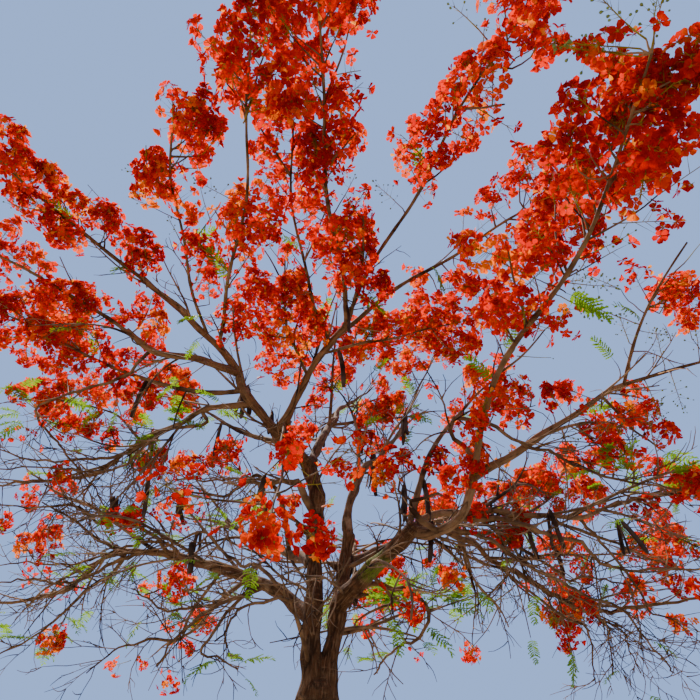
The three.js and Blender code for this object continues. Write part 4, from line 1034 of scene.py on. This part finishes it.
# Calyx: narrow sepals that bend back, each one face
sepalShape = {"count": 4, "turn": 36, "length": 0.016, "width": 0.006, "out": 0.009, "tipFrom": 0.02, "bend": -0.01}
bpy.ops.mesh.primitive_circle_add(vertices=3, radius=1, fill_type="NGON", rotation=(0, 0, -math.pi / 2))
sepal = applied(bpy.context.object)
resize(sepal, sepalShape["length"], sepalShape["width"])
shift(sepal, sepalShape["out"], 0, 0)
shift(sepal, 0, 0, sepalShape["bend"], lambda co: co.x > sepalShape["tipFrom"])
points, faces = modelArrays(sepal)
sepalTurns = [90 * index + sepalShape["turn"] for index in range(sepalShape["count"])]
calyxModel = joined([(points @ turnAbout("z", turn).T, faces) for turn in sepalTurns])

# Flower stalk: three sided, from its foot at the origin to a point up +Z, one metre long until it is scaled
bpy.ops.mesh.primitive_cone_add(
    vertices=3, radius1=1.2, radius2=0, depth=1, end_fill_type="NOTHING", location=(0, 0, 0.5))
stalkModel = modelArrays(applied(bpy.context.object))

# Bud: a round green knob drawn out to its stalk
budShape = {"radius": 0.0088, "neck": -0.006}
bpy.ops.mesh.primitive_ico_sphere_add(subdivisions=1, radius=budShape["radius"], location=(0, 0, 0))
bud = applied(bpy.context.object)
shift(bud, 0, 0, budShape["neck"], lambda co: co.z < budShape["neck"])
budModel = modelArrays(bud)

# Pod: a long flat strap with a blunt tip and lumps over its seeds. It hangs down -Z from its foot,
# a metre long until it is scaled.
podShape = {"width": 0.05, "thickness": 0.016, "cuts": (0.05, 0.16, 0.3, 0.45, 0.6, 0.75, 0.88, 0.96),
            "blunt": 0.12, "lumps": 0.08, "seeds": 19, "bend": 0.022, "sideBend": 0.02}
bpy.ops.mesh.primitive_cube_add(size=1, location=(0, 0, -0.5))
pod = applied(bpy.context.object)
for cut in podShape["cuts"]:
    cutLevel(pod, -cut)
for vertex in pod.data.vertices:
    depth = -vertex.co.z
    outline = min(1, (depth / podShape["blunt"] + 0.12) ** 0.7, ((1 - depth) / podShape["blunt"] + 0.25) ** 0.6)
    vertex.co.x *= podShape["width"] * outline * (1 + podShape["lumps"] * math.sin(podShape["seeds"] * depth))
    vertex.co.y *= podShape["thickness"] * max(outline, 0.5)
podModel = modelArrays(pod)

# Feathery leaf: pairs of plumes along an arching rib, each plume a toothed blade. It points along +X,
# a metre long until it is scaled.
leafShape = {"pairs": 12, "plume": 0.27, "plumeWidth": 0.08, "teeth": 3, "pinch": 0.42, "droop": 0.3, "foot": 0.14,
             "splay": (80, 38), "sway": (-14, 14), "dip": (-6, 34), "rib": (0.006, 0.002)}


def modelLeaf():
    rows = leafShape["teeth"] * 2
    bpy.ops.mesh.primitive_grid_add(x_subdivisions=rows, y_subdivisions=2, size=1, location=(0.5, 0, 0))
    plume = applied(bpy.context.object)
    for vertex in plume.data.vertices:  # every second cross row pulls in, which leaves a row of leaflets
        outline = math.sin(math.pi * (0.12 + 0.8 * vertex.co.x)) ** 0.6
        vertex.co.y *= outline * (1 if round(vertex.co.x * rows) % 2 else leafShape["pinch"])
        vertex.co.z = 0.5 * abs(vertex.co.y) - 0.2 * vertex.co.x**2
    points, faces = modelArrays(plume)
    parts = []
    for pair in range(leafShape["pairs"]):
        for side in (1, -1):
            share = (pair + 0.6 + chance.uniform(-0.2, 0.2)) / leafShape["pairs"]
            size = leafShape["plume"] * math.sin(math.pi * (0.18 + 0.72 * share)) ** 0.7 * chance.uniform(0.8, 1.12)
            turn = turnAbout("z", side * (mix(*leafShape["splay"], share) + chance.uniform(*leafShape["sway"])))
            turn = turn @ turnAbout("y", chance.uniform(*leafShape["dip"]))
            blade = (points * (size, leafShape["plumeWidth"] * side, size * 0.5)) @ turn.T
            place = (mix(leafShape["foot"], 0.98, share), 0, -leafShape["droop"] * share**2)
            parts.append((blade + place, faces[:, ::side]))
    shares = np.linspace(0, 1, 6)
    droops = -leafShape["droop"] * np.maximum(0, (shares - leafShape["foot"]) / 0.84) ** 2
    parts.append(tubes([(np.stack([shares, 0 * shares, droops], 1), np.linspace(*leafShape["rib"], 6))], 3, False))
    return joined(parts)


leafModel = modelLeaf()
print("models of the petal, calyx, stalk, bud, pod and leaf made")

# Copies of the models, joined by kind and tint
blossom = {
    "names": ("petals_scarlet", "petals_orange", "petals_crimson", "petals_flame"),
    "tilt": 0.32,
    "sizes": (0.8, 1.1),
    "kindShares": (0.42, 0.34, 0.24),
    "stalk": 0.0021,
    "budStalk": 0.0017,
}


def columns(rows):
    return [np.array(column) for column in zip(*rows)]


feet, tops, tints = columns(flowers)
facing = unit(tops - feet)
tilted = unit(facing + chance.normal(0, blossom["tilt"], facing.shape))
flowerTurns = frames(tilted, chance.uniform(0, 2 * math.pi, len(flowers)))
flowerSizes = chance.uniform(*blossom["sizes"], len(flowers))
pale = chance.random(len(flowers)) < fine["paleShare"]
paleKinds = chance.choice((3, 4), len(flowers))  # these two leave room for the standard petal
kinds = np.where(pale, paleKinds, chance.choice(3, len(flowers), p=blossom["kindShares"]))
petalPieces = []
for tint, name in enumerate(blossom["names"]):
    parts = []
    for kind, model in enumerate(flowerModels):
        here = (tints == tint) & (kinds == kind)
        parts.append(copies(model, flowerTurns[here], tops[here], flowerSizes[here]))
    petalPieces.append(addMesh(name, *joined(parts)))
standards = addMesh("petals_pale", *copies(paleModel, flowerTurns[pale], tops[pale], flowerSizes[pale]))
calyxes = addMesh("calyxes", *copies(calyxModel, flowerTurns, tops, flowerSizes))


def stalksBetween(starts, ends, thickness):
    lengths = np.linalg.norm(ends - starts, axis=1)
    scales = np.stack([np.full(len(lengths), thickness), np.full(len(lengths), thickness), lengths], 1)
    return copies(stalkModel, frames(ends - starts, np.zeros(len(lengths))), starts, scales)


budFeet, budTops, budSizes = columns(buds)
budPiece = addMesh("buds", *copies(budModel, frames(budTops - budFeet, np.zeros(len(buds))), budTops, budSizes))
stalkPiece = addMesh("flower_stalks", *joined([
    stalksBetween(feet, tops, blossom["stalk"]), stalksBetween(budFeet, budTops, blossom["budStalk"]),
    tubes(stalks, 4)]))
twigPiece = addMesh("twigs", *tubes(stems[:blossomStems], 4))
barePiece = addMesh("bare_twigs", *tubes(stems[blossomStems:], 4))

leafRoots, leafHeads, leafSizes = columns(leaves)
sideways = unit(np.cross(up, leafHeads))
leafTurns = np.stack([leafHeads, sideways, np.cross(leafHeads, sideways)], 2)
leafPiece = addMesh("leaves", *copies(leafModel, leafTurns, leafRoots, leafSizes))

podPoints, podFaces = podModel
podParts = []
for row in pods:
    down, wide, thick = row["axes"]
    bent = podPoints * (1, 1, row["length"])
    for axis, most in enumerate((podShape["bend"], podShape["sideBend"])):
        bent[:, axis] += chance.uniform(-most, most) * np.sin(math.pi * -podPoints[:, 2])
    podParts.append((bent @ np.stack([wide, thick, -down], 1).T + row["root"], podFaces))
podPiece = addMesh("pods", *joined(podParts))


def radiiAlong(limb, count):
    return np.interp(np.linspace(0, 1, count), np.linspace(0, 1, len(limb["radii"])), limb["radii"])


shoot = {"step": 0.07, "lumps": 0.07, "ripples": 0.05, "slimmer": 0.86, "sides": 8}
shootRows = []
for mass in masses:
    course = smoothCourse(mass["course"], shoot["step"])
    ring = np.arange(len(course))
    lumps = 1 + shoot["lumps"] * np.sin(ring * 2.1 + mass["seed"]) + shoot["ripples"] * np.sin(ring * 5.3)
    shootRows.append((course, radiiAlong(mass, len(course)) * lumps * shoot["slimmer"]))
shoots = addMesh("shoots", *tubes(shootRows + sweepRows, shoot["sides"]))
print("blossom, leaves, pods and twigs joined")

# Bark: the trunk as a shaped cylinder and the limbs as tapered curves, fused and given relief
bark = {
    "voxel": 0.0148,
    "smoothing": 4,
    "thickFrom": 0.095,
    "thickStep": 0.05,
    "thinStep": 0.025,
    "collar": 0.3,
    "collarLength": 0.13,
    "lumps": 0.014,
    "cracks": 0.0075,
    "knuckles": 0.006,
    "ridgeWaves": (4.5, 46, 46),
    "knotWaves": (16, 9, 9),
    "scaleWaves": (30, 34, 34),
    "lumpWaves": 17,
    "fullRelief": 0.075,
    "reliefRange": (0.22, 1.15),
    "trunkTop": 2.2,
    "trunkWidth": 0.12,
    "crookedness": 0.012,
    "straightFoot": 0.3,
    "bulges": 0.045,
    "trunk": {"height": 2.35, "waist": 0.164, "forkWidth": 0.182, "forkDepth": 0.132, "forkBegins": 0.55,
              "flare": 0.112, "flareHeight": 0.3, "lobes": 5, "lobeDepth": 0.22, "lobeHeight": 0.42, "bow": 0.034,
              "shoulder": 0.82, "sides": 60, "rings": 40, "sunk": 0.04},
    "stubs": (  # cut branches: the limb, where along it, azimuth, rise, length and radius
        ("bough_east", 0.12, -60, -12, 0.3, 0.03), ("bough_west_rise", 0.35, 40, 60, 0.2, 0.028),
        ("bough_west_low", 0.35, -120, -20, 0.16, 0.024), ("stem_west", 0.62, 200, 20, 0.17, 0.03),
        ("bough_northwest", 0.3, 60, 30, 0.18, 0.022), ("stem_east", 0.75, 150, 25, 0.15, 0.024)),
}
size = bark["trunk"]
bpy.ops.mesh.primitive_cylinder_add(vertices=size["sides"], radius=1, depth=1, location=(0, 0, 0.5))
trunk = applied(bpy.context.object)
for height in np.linspace(0, 1, size["rings"])[1:-1]:
    cutLevel(trunk, height)
for vertex in trunk.data.vertices:
    share = vertex.co.z
    height = share * size["height"]
    angle = math.atan2(vertex.co.y, vertex.co.x)
    toFork = min(max((share - size["forkBegins"]) / (1 - size["forkBegins"]), 0), 1)
    toFork = toFork * toFork * (3 - 2 * toFork)
    lobe = 1 + size["lobeDepth"] * math.cos(size["lobes"] * angle) * math.exp(-height / size["lobeHeight"])
    flare = size["flare"] * math.exp(-height / size["flareHeight"])
    shoulder = size["shoulder"] if share > 0.99 else 1
    vertex.co.x *= (mix(size["waist"], size["forkWidth"], toFork) + flare) * lobe * shoulder
    vertex.co.y *= (mix(size["waist"], size["forkDepth"], toFork) + flare) * lobe * shoulder
    vertex.co.x += size["bow"] * math.sin(math.pi * share)
    vertex.co.z = height - (size["sunk"] if share < 0.001 else 0)  # the foot is cut level later


def limbCurve(name, rows, resolution):
    curve = bpy.data.curves.new(name, "CURVE")
    curve.dimensions, curve.bevel_depth, curve.bevel_resolution = "3D", 1.0, resolution
    curve.use_fill_caps = True
    for course, radii in rows:
        spline = curve.splines.new("POLY")
        spline.points.add(len(course) - 1)
        spline.points.foreach_set("co", np.hstack([course, np.ones((len(course), 1))]).ravel())
        spline.points.foreach_set("radius", radii)
    shape = bpy.data.objects.new(name, curve)
    bpy.context.scene.collection.objects.link(shape)
    pickOnly(shape)
    bpy.ops.object.convert(target="MESH")
    return bpy.context.object


def limbRow(limb, step):
    course = smoothCourse(limb["course"], step)
    length = np.linspace(0, limb["length"], len(course))
    radii = radiiAlong(limb, len(course)) * (1 + bark["collar"] * np.exp(-length / bark["collarLength"]))
    wave = np.sin(length * 9 + limb["seed"]) + 0.7 * np.sin(length * 23 + 2 * limb["seed"])
    bends = np.stack([np.sin(length * (7 + k) + limb["seed"] * (k + 1)) for k in range(3)], 1)
    course = course + bends * bark["crookedness"] * np.clip(length / bark["straightFoot"], 0, 1)[:, None]
    return course, radii * (1 + bark["bulges"] * wave)


thick = [limb for limb in limbs.values() if limb["radii"][0] * 2 >= bark["thickFrom"]]
thin = [limb for limb in limbs.values() if limb["radii"][0] * 2 < bark["thickFrom"]]
stubs = []
for host, share, azimuth, rise, length, radius in bark["stubs"]:
    start = pointAt(limbs[host]["course"], share)
    course = growCourse(start, (azimuth, azimuth + 15), (rise, rise + 10), length + limbs[host]["radii"][0], 6, 5)
    stubs.append((course, np.linspace(radius * 1.25, radius, len(course))))
thickShape = limbCurve("thick_limbs", [limbRow(limb, bark["thickStep"]) for limb in thick] + stubs, 4)
pickOnly(thickShape, trunk)
bpy.ops.object.join()
trunk.name = "bark"
barkPiece = trunk


def finishWith(piece, kind, **settings):
    modifier = piece.modifiers.new(kind.lower(), kind)
    for key, value in settings.items():
        setattr(modifier, key, value)
    pickOnly(piece)
    bpy.ops.object.modifier_apply(modifier=modifier.name)


def limbPlaces(points):  # length along the limb, two offsets across it, and the limb's radius, at each point
    starts, spans = limbCourses.starts, limbCourses.ends - limbCourses.starts
    owners, steps = limbCourses.owners, np.linalg.norm(spans, axis=1)
    side = np.zeros_like(spans)
    begins = np.zeros(len(steps))
    for index, along in enumerate(unit(spans)):
        isFirst = index == 0 or owners[index] != owners[index - 1]
        side[index] = unit(np.cross(along, np.cross(up + 0.1 if isFirst else side[index - 1], along)))
        begins[index] = owners[index] * 3.7 if isFirst else begins[index - 1] + steps[index - 1]  # 3.7 m apart
    other = np.cross(unit(spans), side)
    places, width = np.zeros((len(points), 3)), np.zeros(len(points))
    for low in range(0, len(points), 4000):  # in blocks, to spare memory
        here = slice(low, low + 4000)
        block = points[here]
        gap, radius, share = limbCourses.near(block)
        best = (gap - radius).argmin(1)
        rows = np.arange(len(block))
        offset = block - (starts[best] + share[rows, best, None] * spans[best])
        found = np.stack([begins[best] + share[rows, best] * steps[best],
                          (offset * side[best]).sum(1), (offset * other[best]).sum(1)], 1)
        onTrunk = block[:, 2] < bark["trunkTop"]
        places[here] = np.where(onTrunk[:, None], block[:, [2, 0, 1]], found)
        width[here] = np.where(onTrunk, bark["trunkWidth"], radius[rows, best])
    return places, width


def ripples(places, scale, seed):  # smooth seeded unevenness between about -1 and 1
    waves = np.random.default_rng(seed)
    headings = unit(waves.normal(size=(9, 3))) * waves.uniform(0.6, 1.7, (9, 1)) * scale
    return np.sin(places @ headings.T + waves.uniform(0, 6.28, 9)).sum(1) / 3.2


def giveRelief(piece):
    mesh = piece.data
    points, normals = np.zeros(len(mesh.vertices) * 3), np.zeros(len(mesh.vertices) * 3)
    mesh.vertices.foreach_get("co", points)
    mesh.vertices.foreach_get("normal", normals)
    points, normals = points.reshape(-1, 3), normals.reshape(-1, 3)
    places, width = limbPlaces(points)
    size = np.clip(width / bark["fullRelief"], *bark["reliefRange"])  # thin wood is smoother
    ridges = 1 - np.abs(ripples(places * bark["ridgeWaves"], 1.6, 3)) ** 0.7
    knots = np.clip(ripples(places * bark["knotWaves"], 1, 5) - 0.45, 0, 1)
    scales = ripples(places * bark["scaleWaves"], 1, 8)
    raised = bark["lumps"] * 0.5 * ripples(points * bark["lumpWaves"], 1, 4) - bark["cracks"] * ridges
    raised = raised + bark["knuckles"] * 2.2 * knots + bark["cracks"] * 0.25 * scales
    points += normals * (raised * size)[:, None]
    mesh.vertices.foreach_set("co", points.ravel())
    mesh.update()
    # The crack mask is kept to paint shade: the bark's colour is darkened in the sunk cracks
    for key, kind, entry, values in (("grainPlace", "FLOAT_VECTOR", "vector", places),
                                     ("width", "FLOAT", "value", width), ("crackShade", "FLOAT", "value", ridges)):
        mesh.attributes.new(key, kind, "POINT").data.foreach_set(entry, values.astype(np.float32).ravel())


finishWith(barkPiece, "REMESH", mode="VOXEL", voxel_size=bark["voxel"], adaptivity=0)
finishWith(barkPiece, "SMOOTH", factor=0.5, iterations=bark["smoothing"])
giveRelief(barkPiece)
cutLevel(barkPiece, 0, use_fill=True, clear_inner=True)
boughPiece = limbCurve("boughs", [limbRow(limb, bark["thinStep"]) for limb in thin], 5)
giveRelief(boughPiece)
for piece in (barkPiece, boughPiece):
    piece.data.polygons.foreach_set("use_smooth", np.ones(len(piece.data.polygons), bool))
print("bark:", triangles(barkPiece), "and", triangles(boughPiece), "triangles")


# Finishes
class Field:  # an output socket that can be reckoned with
    def __init__(self, recipe, socket):
        self.recipe, self.socket = recipe, socket

    def sum(self, operation, first, second):
        return self.recipe.make("ShaderNodeMath", {"operation": operation}, {0: first, 1: second})

    def __add__(self, other):
        return self.sum("ADD", self, other)

    def __radd__(self, other):
        return self.sum("ADD", other, self)

    def __mul__(self, other):
        return self.sum("MULTIPLY", self, other)


class Recipe:
    def __init__(self, name, fixed):
        self.material = bpy.data.materials.new(name)
        self.material.use_nodes = True
        self.tree = self.material.node_tree
        self.shader = self.tree.nodes["Principled BSDF"]
        for key, value in fixed.items():
            self.shader.inputs[key].default_value = value

    def make(self, kind, settings, sockets, output=0):
        node = self.tree.nodes.new(kind)
        for key, value in settings.items():
            setattr(node, key, value)
        for key, value in sockets.items():
            self.feed(node.inputs[key], value)
        return Field(self, node.outputs[output])

    def feed(self, socket, value):
        if isinstance(value, Field):
            self.tree.links.new(value.socket, socket)
        else:
            socket.default_value = value

    def place(self):
        return self.make("ShaderNodeTexCoord", {}, {}, "Object")

    def noise(self, scale, detail=3, roughness=0.55, place=None):
        return self.make("ShaderNodeTexNoise", {}, {
            "Vector": place or self.place(), "Scale": scale, "Detail": detail, "Roughness": roughness})

    def blend(self, factor, first, second):
        first, second = [(*side, 1) if isinstance(side, tuple) else side for side in (first, second)]
        return self.make("ShaderNodeMix", {"data_type": "RGBA"}, {0: factor, 6: first, 7: second}, 2)

    def reckon(self, operation, first, second, output=0):
        return self.make("ShaderNodeVectorMath", {"operation": operation}, {0: first, 1: second}, output)

    def reading(self, name, output="Fac"):
        return self.make("ShaderNodeAttribute", {"attribute_name": name}, {}, output)

    def colour(self, value):
        self.feed(self.shader.inputs["Base Color"], value)

    def steps(self, value, low, high):  # from 0 at low to 1 at high
        return self.make("ShaderNodeMapRange", {}, {"Value": value, "From Min": low, "From Max": high})

    def bump(self, height, strength, distance):
        normal = self.make("ShaderNodeBump", {}, {"Strength": strength, "Distance": distance, "Height": height})
        self.feed(self.shader.inputs["Normal"], normal)

    def letThrough(self, colour, share):  # thin petals and leaflets let light through
        glow = self.make("ShaderNodeBsdfTranslucent", {}, {"Color": (*colour, 1)})
        both = self.make("ShaderNodeMixShader", {}, {0: share, 1: Field(self, self.shader.outputs[0]), 2: glow})
        self.feed(self.tree.nodes["Material Output"].inputs["Surface"], both)


def petalFinish(name, deep, colour, edge, glow):
    recipe = Recipe(name, {"Roughness": 0.6, "Specular IOR Level": 0.06})
    colour = recipe.blend(recipe.steps(recipe.noise(17, 2), 0.38, 0.56), deep, colour)
    colour = recipe.blend(recipe.steps(recipe.noise(31, 1), 0.56, 0.7), colour, edge)
    recipe.colour(colour)
    recipe.letThrough(glow, 0.6)
    return recipe.material


barkLooks = {
    # near-black painted shade for the sunk cracks
    "crackShade": (0.012, 0.005, 0.001),
    "dark": (0.048, 0.018, 0.005),
    "brown": (0.13, 0.052, 0.016),
    "tan": (0.34, 0.17, 0.068),
    "pale": (0.46, 0.29, 0.14),
    "moss": (0.12, 0.16, 0.01),
    "mossAt": tuple(pointAt(limbs["bough_east"]["course"], 0.55)),
    "mossReach": (0.32, 0.2),
}


def barkFinish():
    recipe = Recipe("bark", {"Specular IOR Level": 0.12})
    steps, blend, looks = recipe.steps, recipe.blend, barkLooks
    along, width, crackShade = recipe.reading("grainPlace", "Vector"), recipe.reading("width"), recipe.reading("crackShade")
    broad, blotch, grain = recipe.noise(2.2), recipe.noise(9, 4), recipe.noise(70, 4, 0.65)
    streaks = recipe.noise(60, 4, 0.6, recipe.reckon("MULTIPLY", along, (0.14, 1, 1)))
    bands = recipe.noise(24, 3, 0.5, recipe.reckon("MULTIPLY", along, (1.6, 0.3, 0.3)))
    colour = blend(steps(blotch, 0.35, 0.65), looks["dark"], looks["brown"])
    colour = blend(steps(width, 0.075, 0.025) * 0.55, colour, looks["tan"])  # young wood is paler
    colour = blend(steps(streaks, 0.5, 0.72) * 0.6, colour, looks["tan"])
    colour = blend(steps(bands, 0.6, 0.72) * 0.35, colour, looks["tan"])
    colour = blend(steps(broad, 0.55, 0.68) * steps(blotch, 0.42, 0.6) * 0.5, colour, looks["pale"])
    away = recipe.reckon("DISTANCE", recipe.place(), looks["mossAt"], "Value")
    mossy = steps(away + blotch * 0.16, *looks["mossReach"]) * steps(grain, 0.35, 0.55)
    colour = blend(mossy * 0.85, colour, looks["moss"])
    # Painted shade: the sunk cracks are darkened nearly to black
    recipe.colour(blend(steps(crackShade, 0.62, 0.95) * 0.75, colour, looks["crackShade"]))
    recipe.feed(recipe.shader.inputs["Roughness"], 0.82 + grain * 0.15)
    recipe.bump(grain * 0.35 + streaks * 0.9 + bands * 0.25, 0.75, 0.012)
    return recipe.material


def woodyFinish(name, dark, light, size):
    recipe = Recipe(name, {"Roughness": 0.85, "Specular IOR Level": 0.12})
    recipe.colour(recipe.blend(recipe.steps(recipe.noise(size), 0.35, 0.65), dark, light))
    recipe.bump(recipe.noise(size * 6, 2), 0.4, 0.004)
    return recipe.material


def leafFinish():
    recipe = Recipe("leaflets", {"Roughness": 0.6, "Specular IOR Level": 0.3})
    colour = recipe.blend(recipe.steps(recipe.noise(5, 2), 0.35, 0.65), (0.05, 0.11, 0.005), (0.18, 0.29, 0.008))
    recipe.colour(colour)
    recipe.letThrough((0.27, 0.47, 0.008), 0.45)
    return recipe.material


petalTints = {  # deep, common and edge colours, and the light that shines through
    "petals_scarlet": ((0.28, 0, 0), (0.56, 0.004, 0), (0.74, 0.045, 0), (0.9, 0.02, 0)),
    "petals_orange": ((0.45, 0.003, 0), (0.7, 0.03, 0), (0.82, 0.12, 0.001), (0.92, 0.07, 0)),
    "petals_crimson": ((0.14, 0, 0), (0.34, 0.001, 0), (0.52, 0.006, 0), (0.68, 0.005, 0)),
    "petals_flame": ((0.6, 0.04, 0), (0.78, 0.12, 0.001), (0.9, 0.26, 0.004), (0.96, 0.18, 0)),
    "petals_pale": ((0.88, 0.12, 0.006), (0.95, 0.3, 0.03), (1, 0.5, 0.1), (1, 0.3, 0.02)),
}
woodyTints = {  # dark and light colours, and how many blotches to a metre
    "calyxes": ((0.34, 0.13, 0.015), (0.3, 0.27, 0.03), 14),
    "flower_stalks": ((0.22, 0.12, 0.008), (0.34, 0.27, 0.02), 9),
    "buds": ((0.14, 0.17, 0.03), (0.26, 0.28, 0.07), 30),
    "pods": ((0.02, 0.01, 0.005), (0.1, 0.055, 0.03), 7),
    "twigs": ((0.048, 0.02, 0.006), (0.3, 0.16, 0.065), 3.4),
    "bare_twigs": ((0.036, 0.015, 0.005), (0.34, 0.185, 0.08), 2.6),
    "shoots": ((0.045, 0.018, 0.006), (0.26, 0.13, 0.05), 5),
}
materials = {name: petalFinish(name, *tints) for name, tints in petalTints.items()}
materials |= {name: woodyFinish(name, *tints) for name, tints in woodyTints.items()}
materials |= {"leaves": leafFinish(), "bark": barkFinish()}
materials["boughs"] = materials["bark"]
kit = {
    "blossom": (*petalPieces, standards, calyxes, stalkPiece, budPiece),
    "leaf": (leafPiece,),
    None: (podPiece,),
    "bark": (twigPiece, barePiece, shoots, barkPiece, boughPiece),
}
total = 0
for piece, slot in [(piece, slot) for slot, pieces in kit.items() for piece in pieces]:
    piece.data.materials.clear()
    piece.data.materials.append(materials[piece.name])
    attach(piece, "root")
    total += triangles(piece)
    print(piece.name, triangles(piece))
print("triangles in all", total)
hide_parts("trunk", *[limb["name"] for limb in thick])
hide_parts(*[limb["name"] for limb in thin])
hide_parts(*[mass["name"] for mass in masses if not mass["name"].startswith("leaves")])
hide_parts("leaves_low")

# Camera, low under the crown and tipped up, then the studio
viewpoint = {"place": (0.28, -5.8, 1.6), "rise": 38, "lens": 28.8}
bpy.ops.object.camera_add(location=viewpoint["place"], rotation=(math.radians(90 + viewpoint["rise"]), 0, 0))
camera = bpy.context.object
camera.data.lens, camera.data.sensor_width = viewpoint["lens"], 36
camera.data.clip_end = 400
bpy.context.scene.camera = camera

studio = {"sky": (0.36, 0.56, 1.06), "skyStrength": 1.0, "sun": 10.5, "sunColour": (1.0, 0.95, 0.88),
          "sunSoftness": 5, "sunTurn": (40, 0, 212), "floor": 70, "floorColour": (0.36, 0.33, 0.28, 1)}
world = bpy.data.worlds.new("studio")
bpy.context.scene.world = world
world.use_nodes = True
backdrop = world.node_tree.nodes["Background"].inputs
backdrop["Color"].default_value, backdrop["Strength"].default_value = (*studio["sky"], 1), studio["skyStrength"]
sunTurn = [math.radians(angle) for angle in studio["sunTurn"]]
bpy.ops.object.light_add(type="SUN", location=(0, 6, 14), rotation=sunTurn)
lamp = bpy.context.object.data
lamp.energy, lamp.angle, lamp.color = studio["sun"], math.radians(studio["sunSoftness"]), studio["sunColour"]
bpy.ops.mesh.primitive_plane_add(size=studio["floor"], location=(0, 0, 0))
floor = bpy.context.object
floor.data.materials.append(Recipe("floor", {"Roughness": 0.9, "Base Color": studio["floorColour"]}).material)
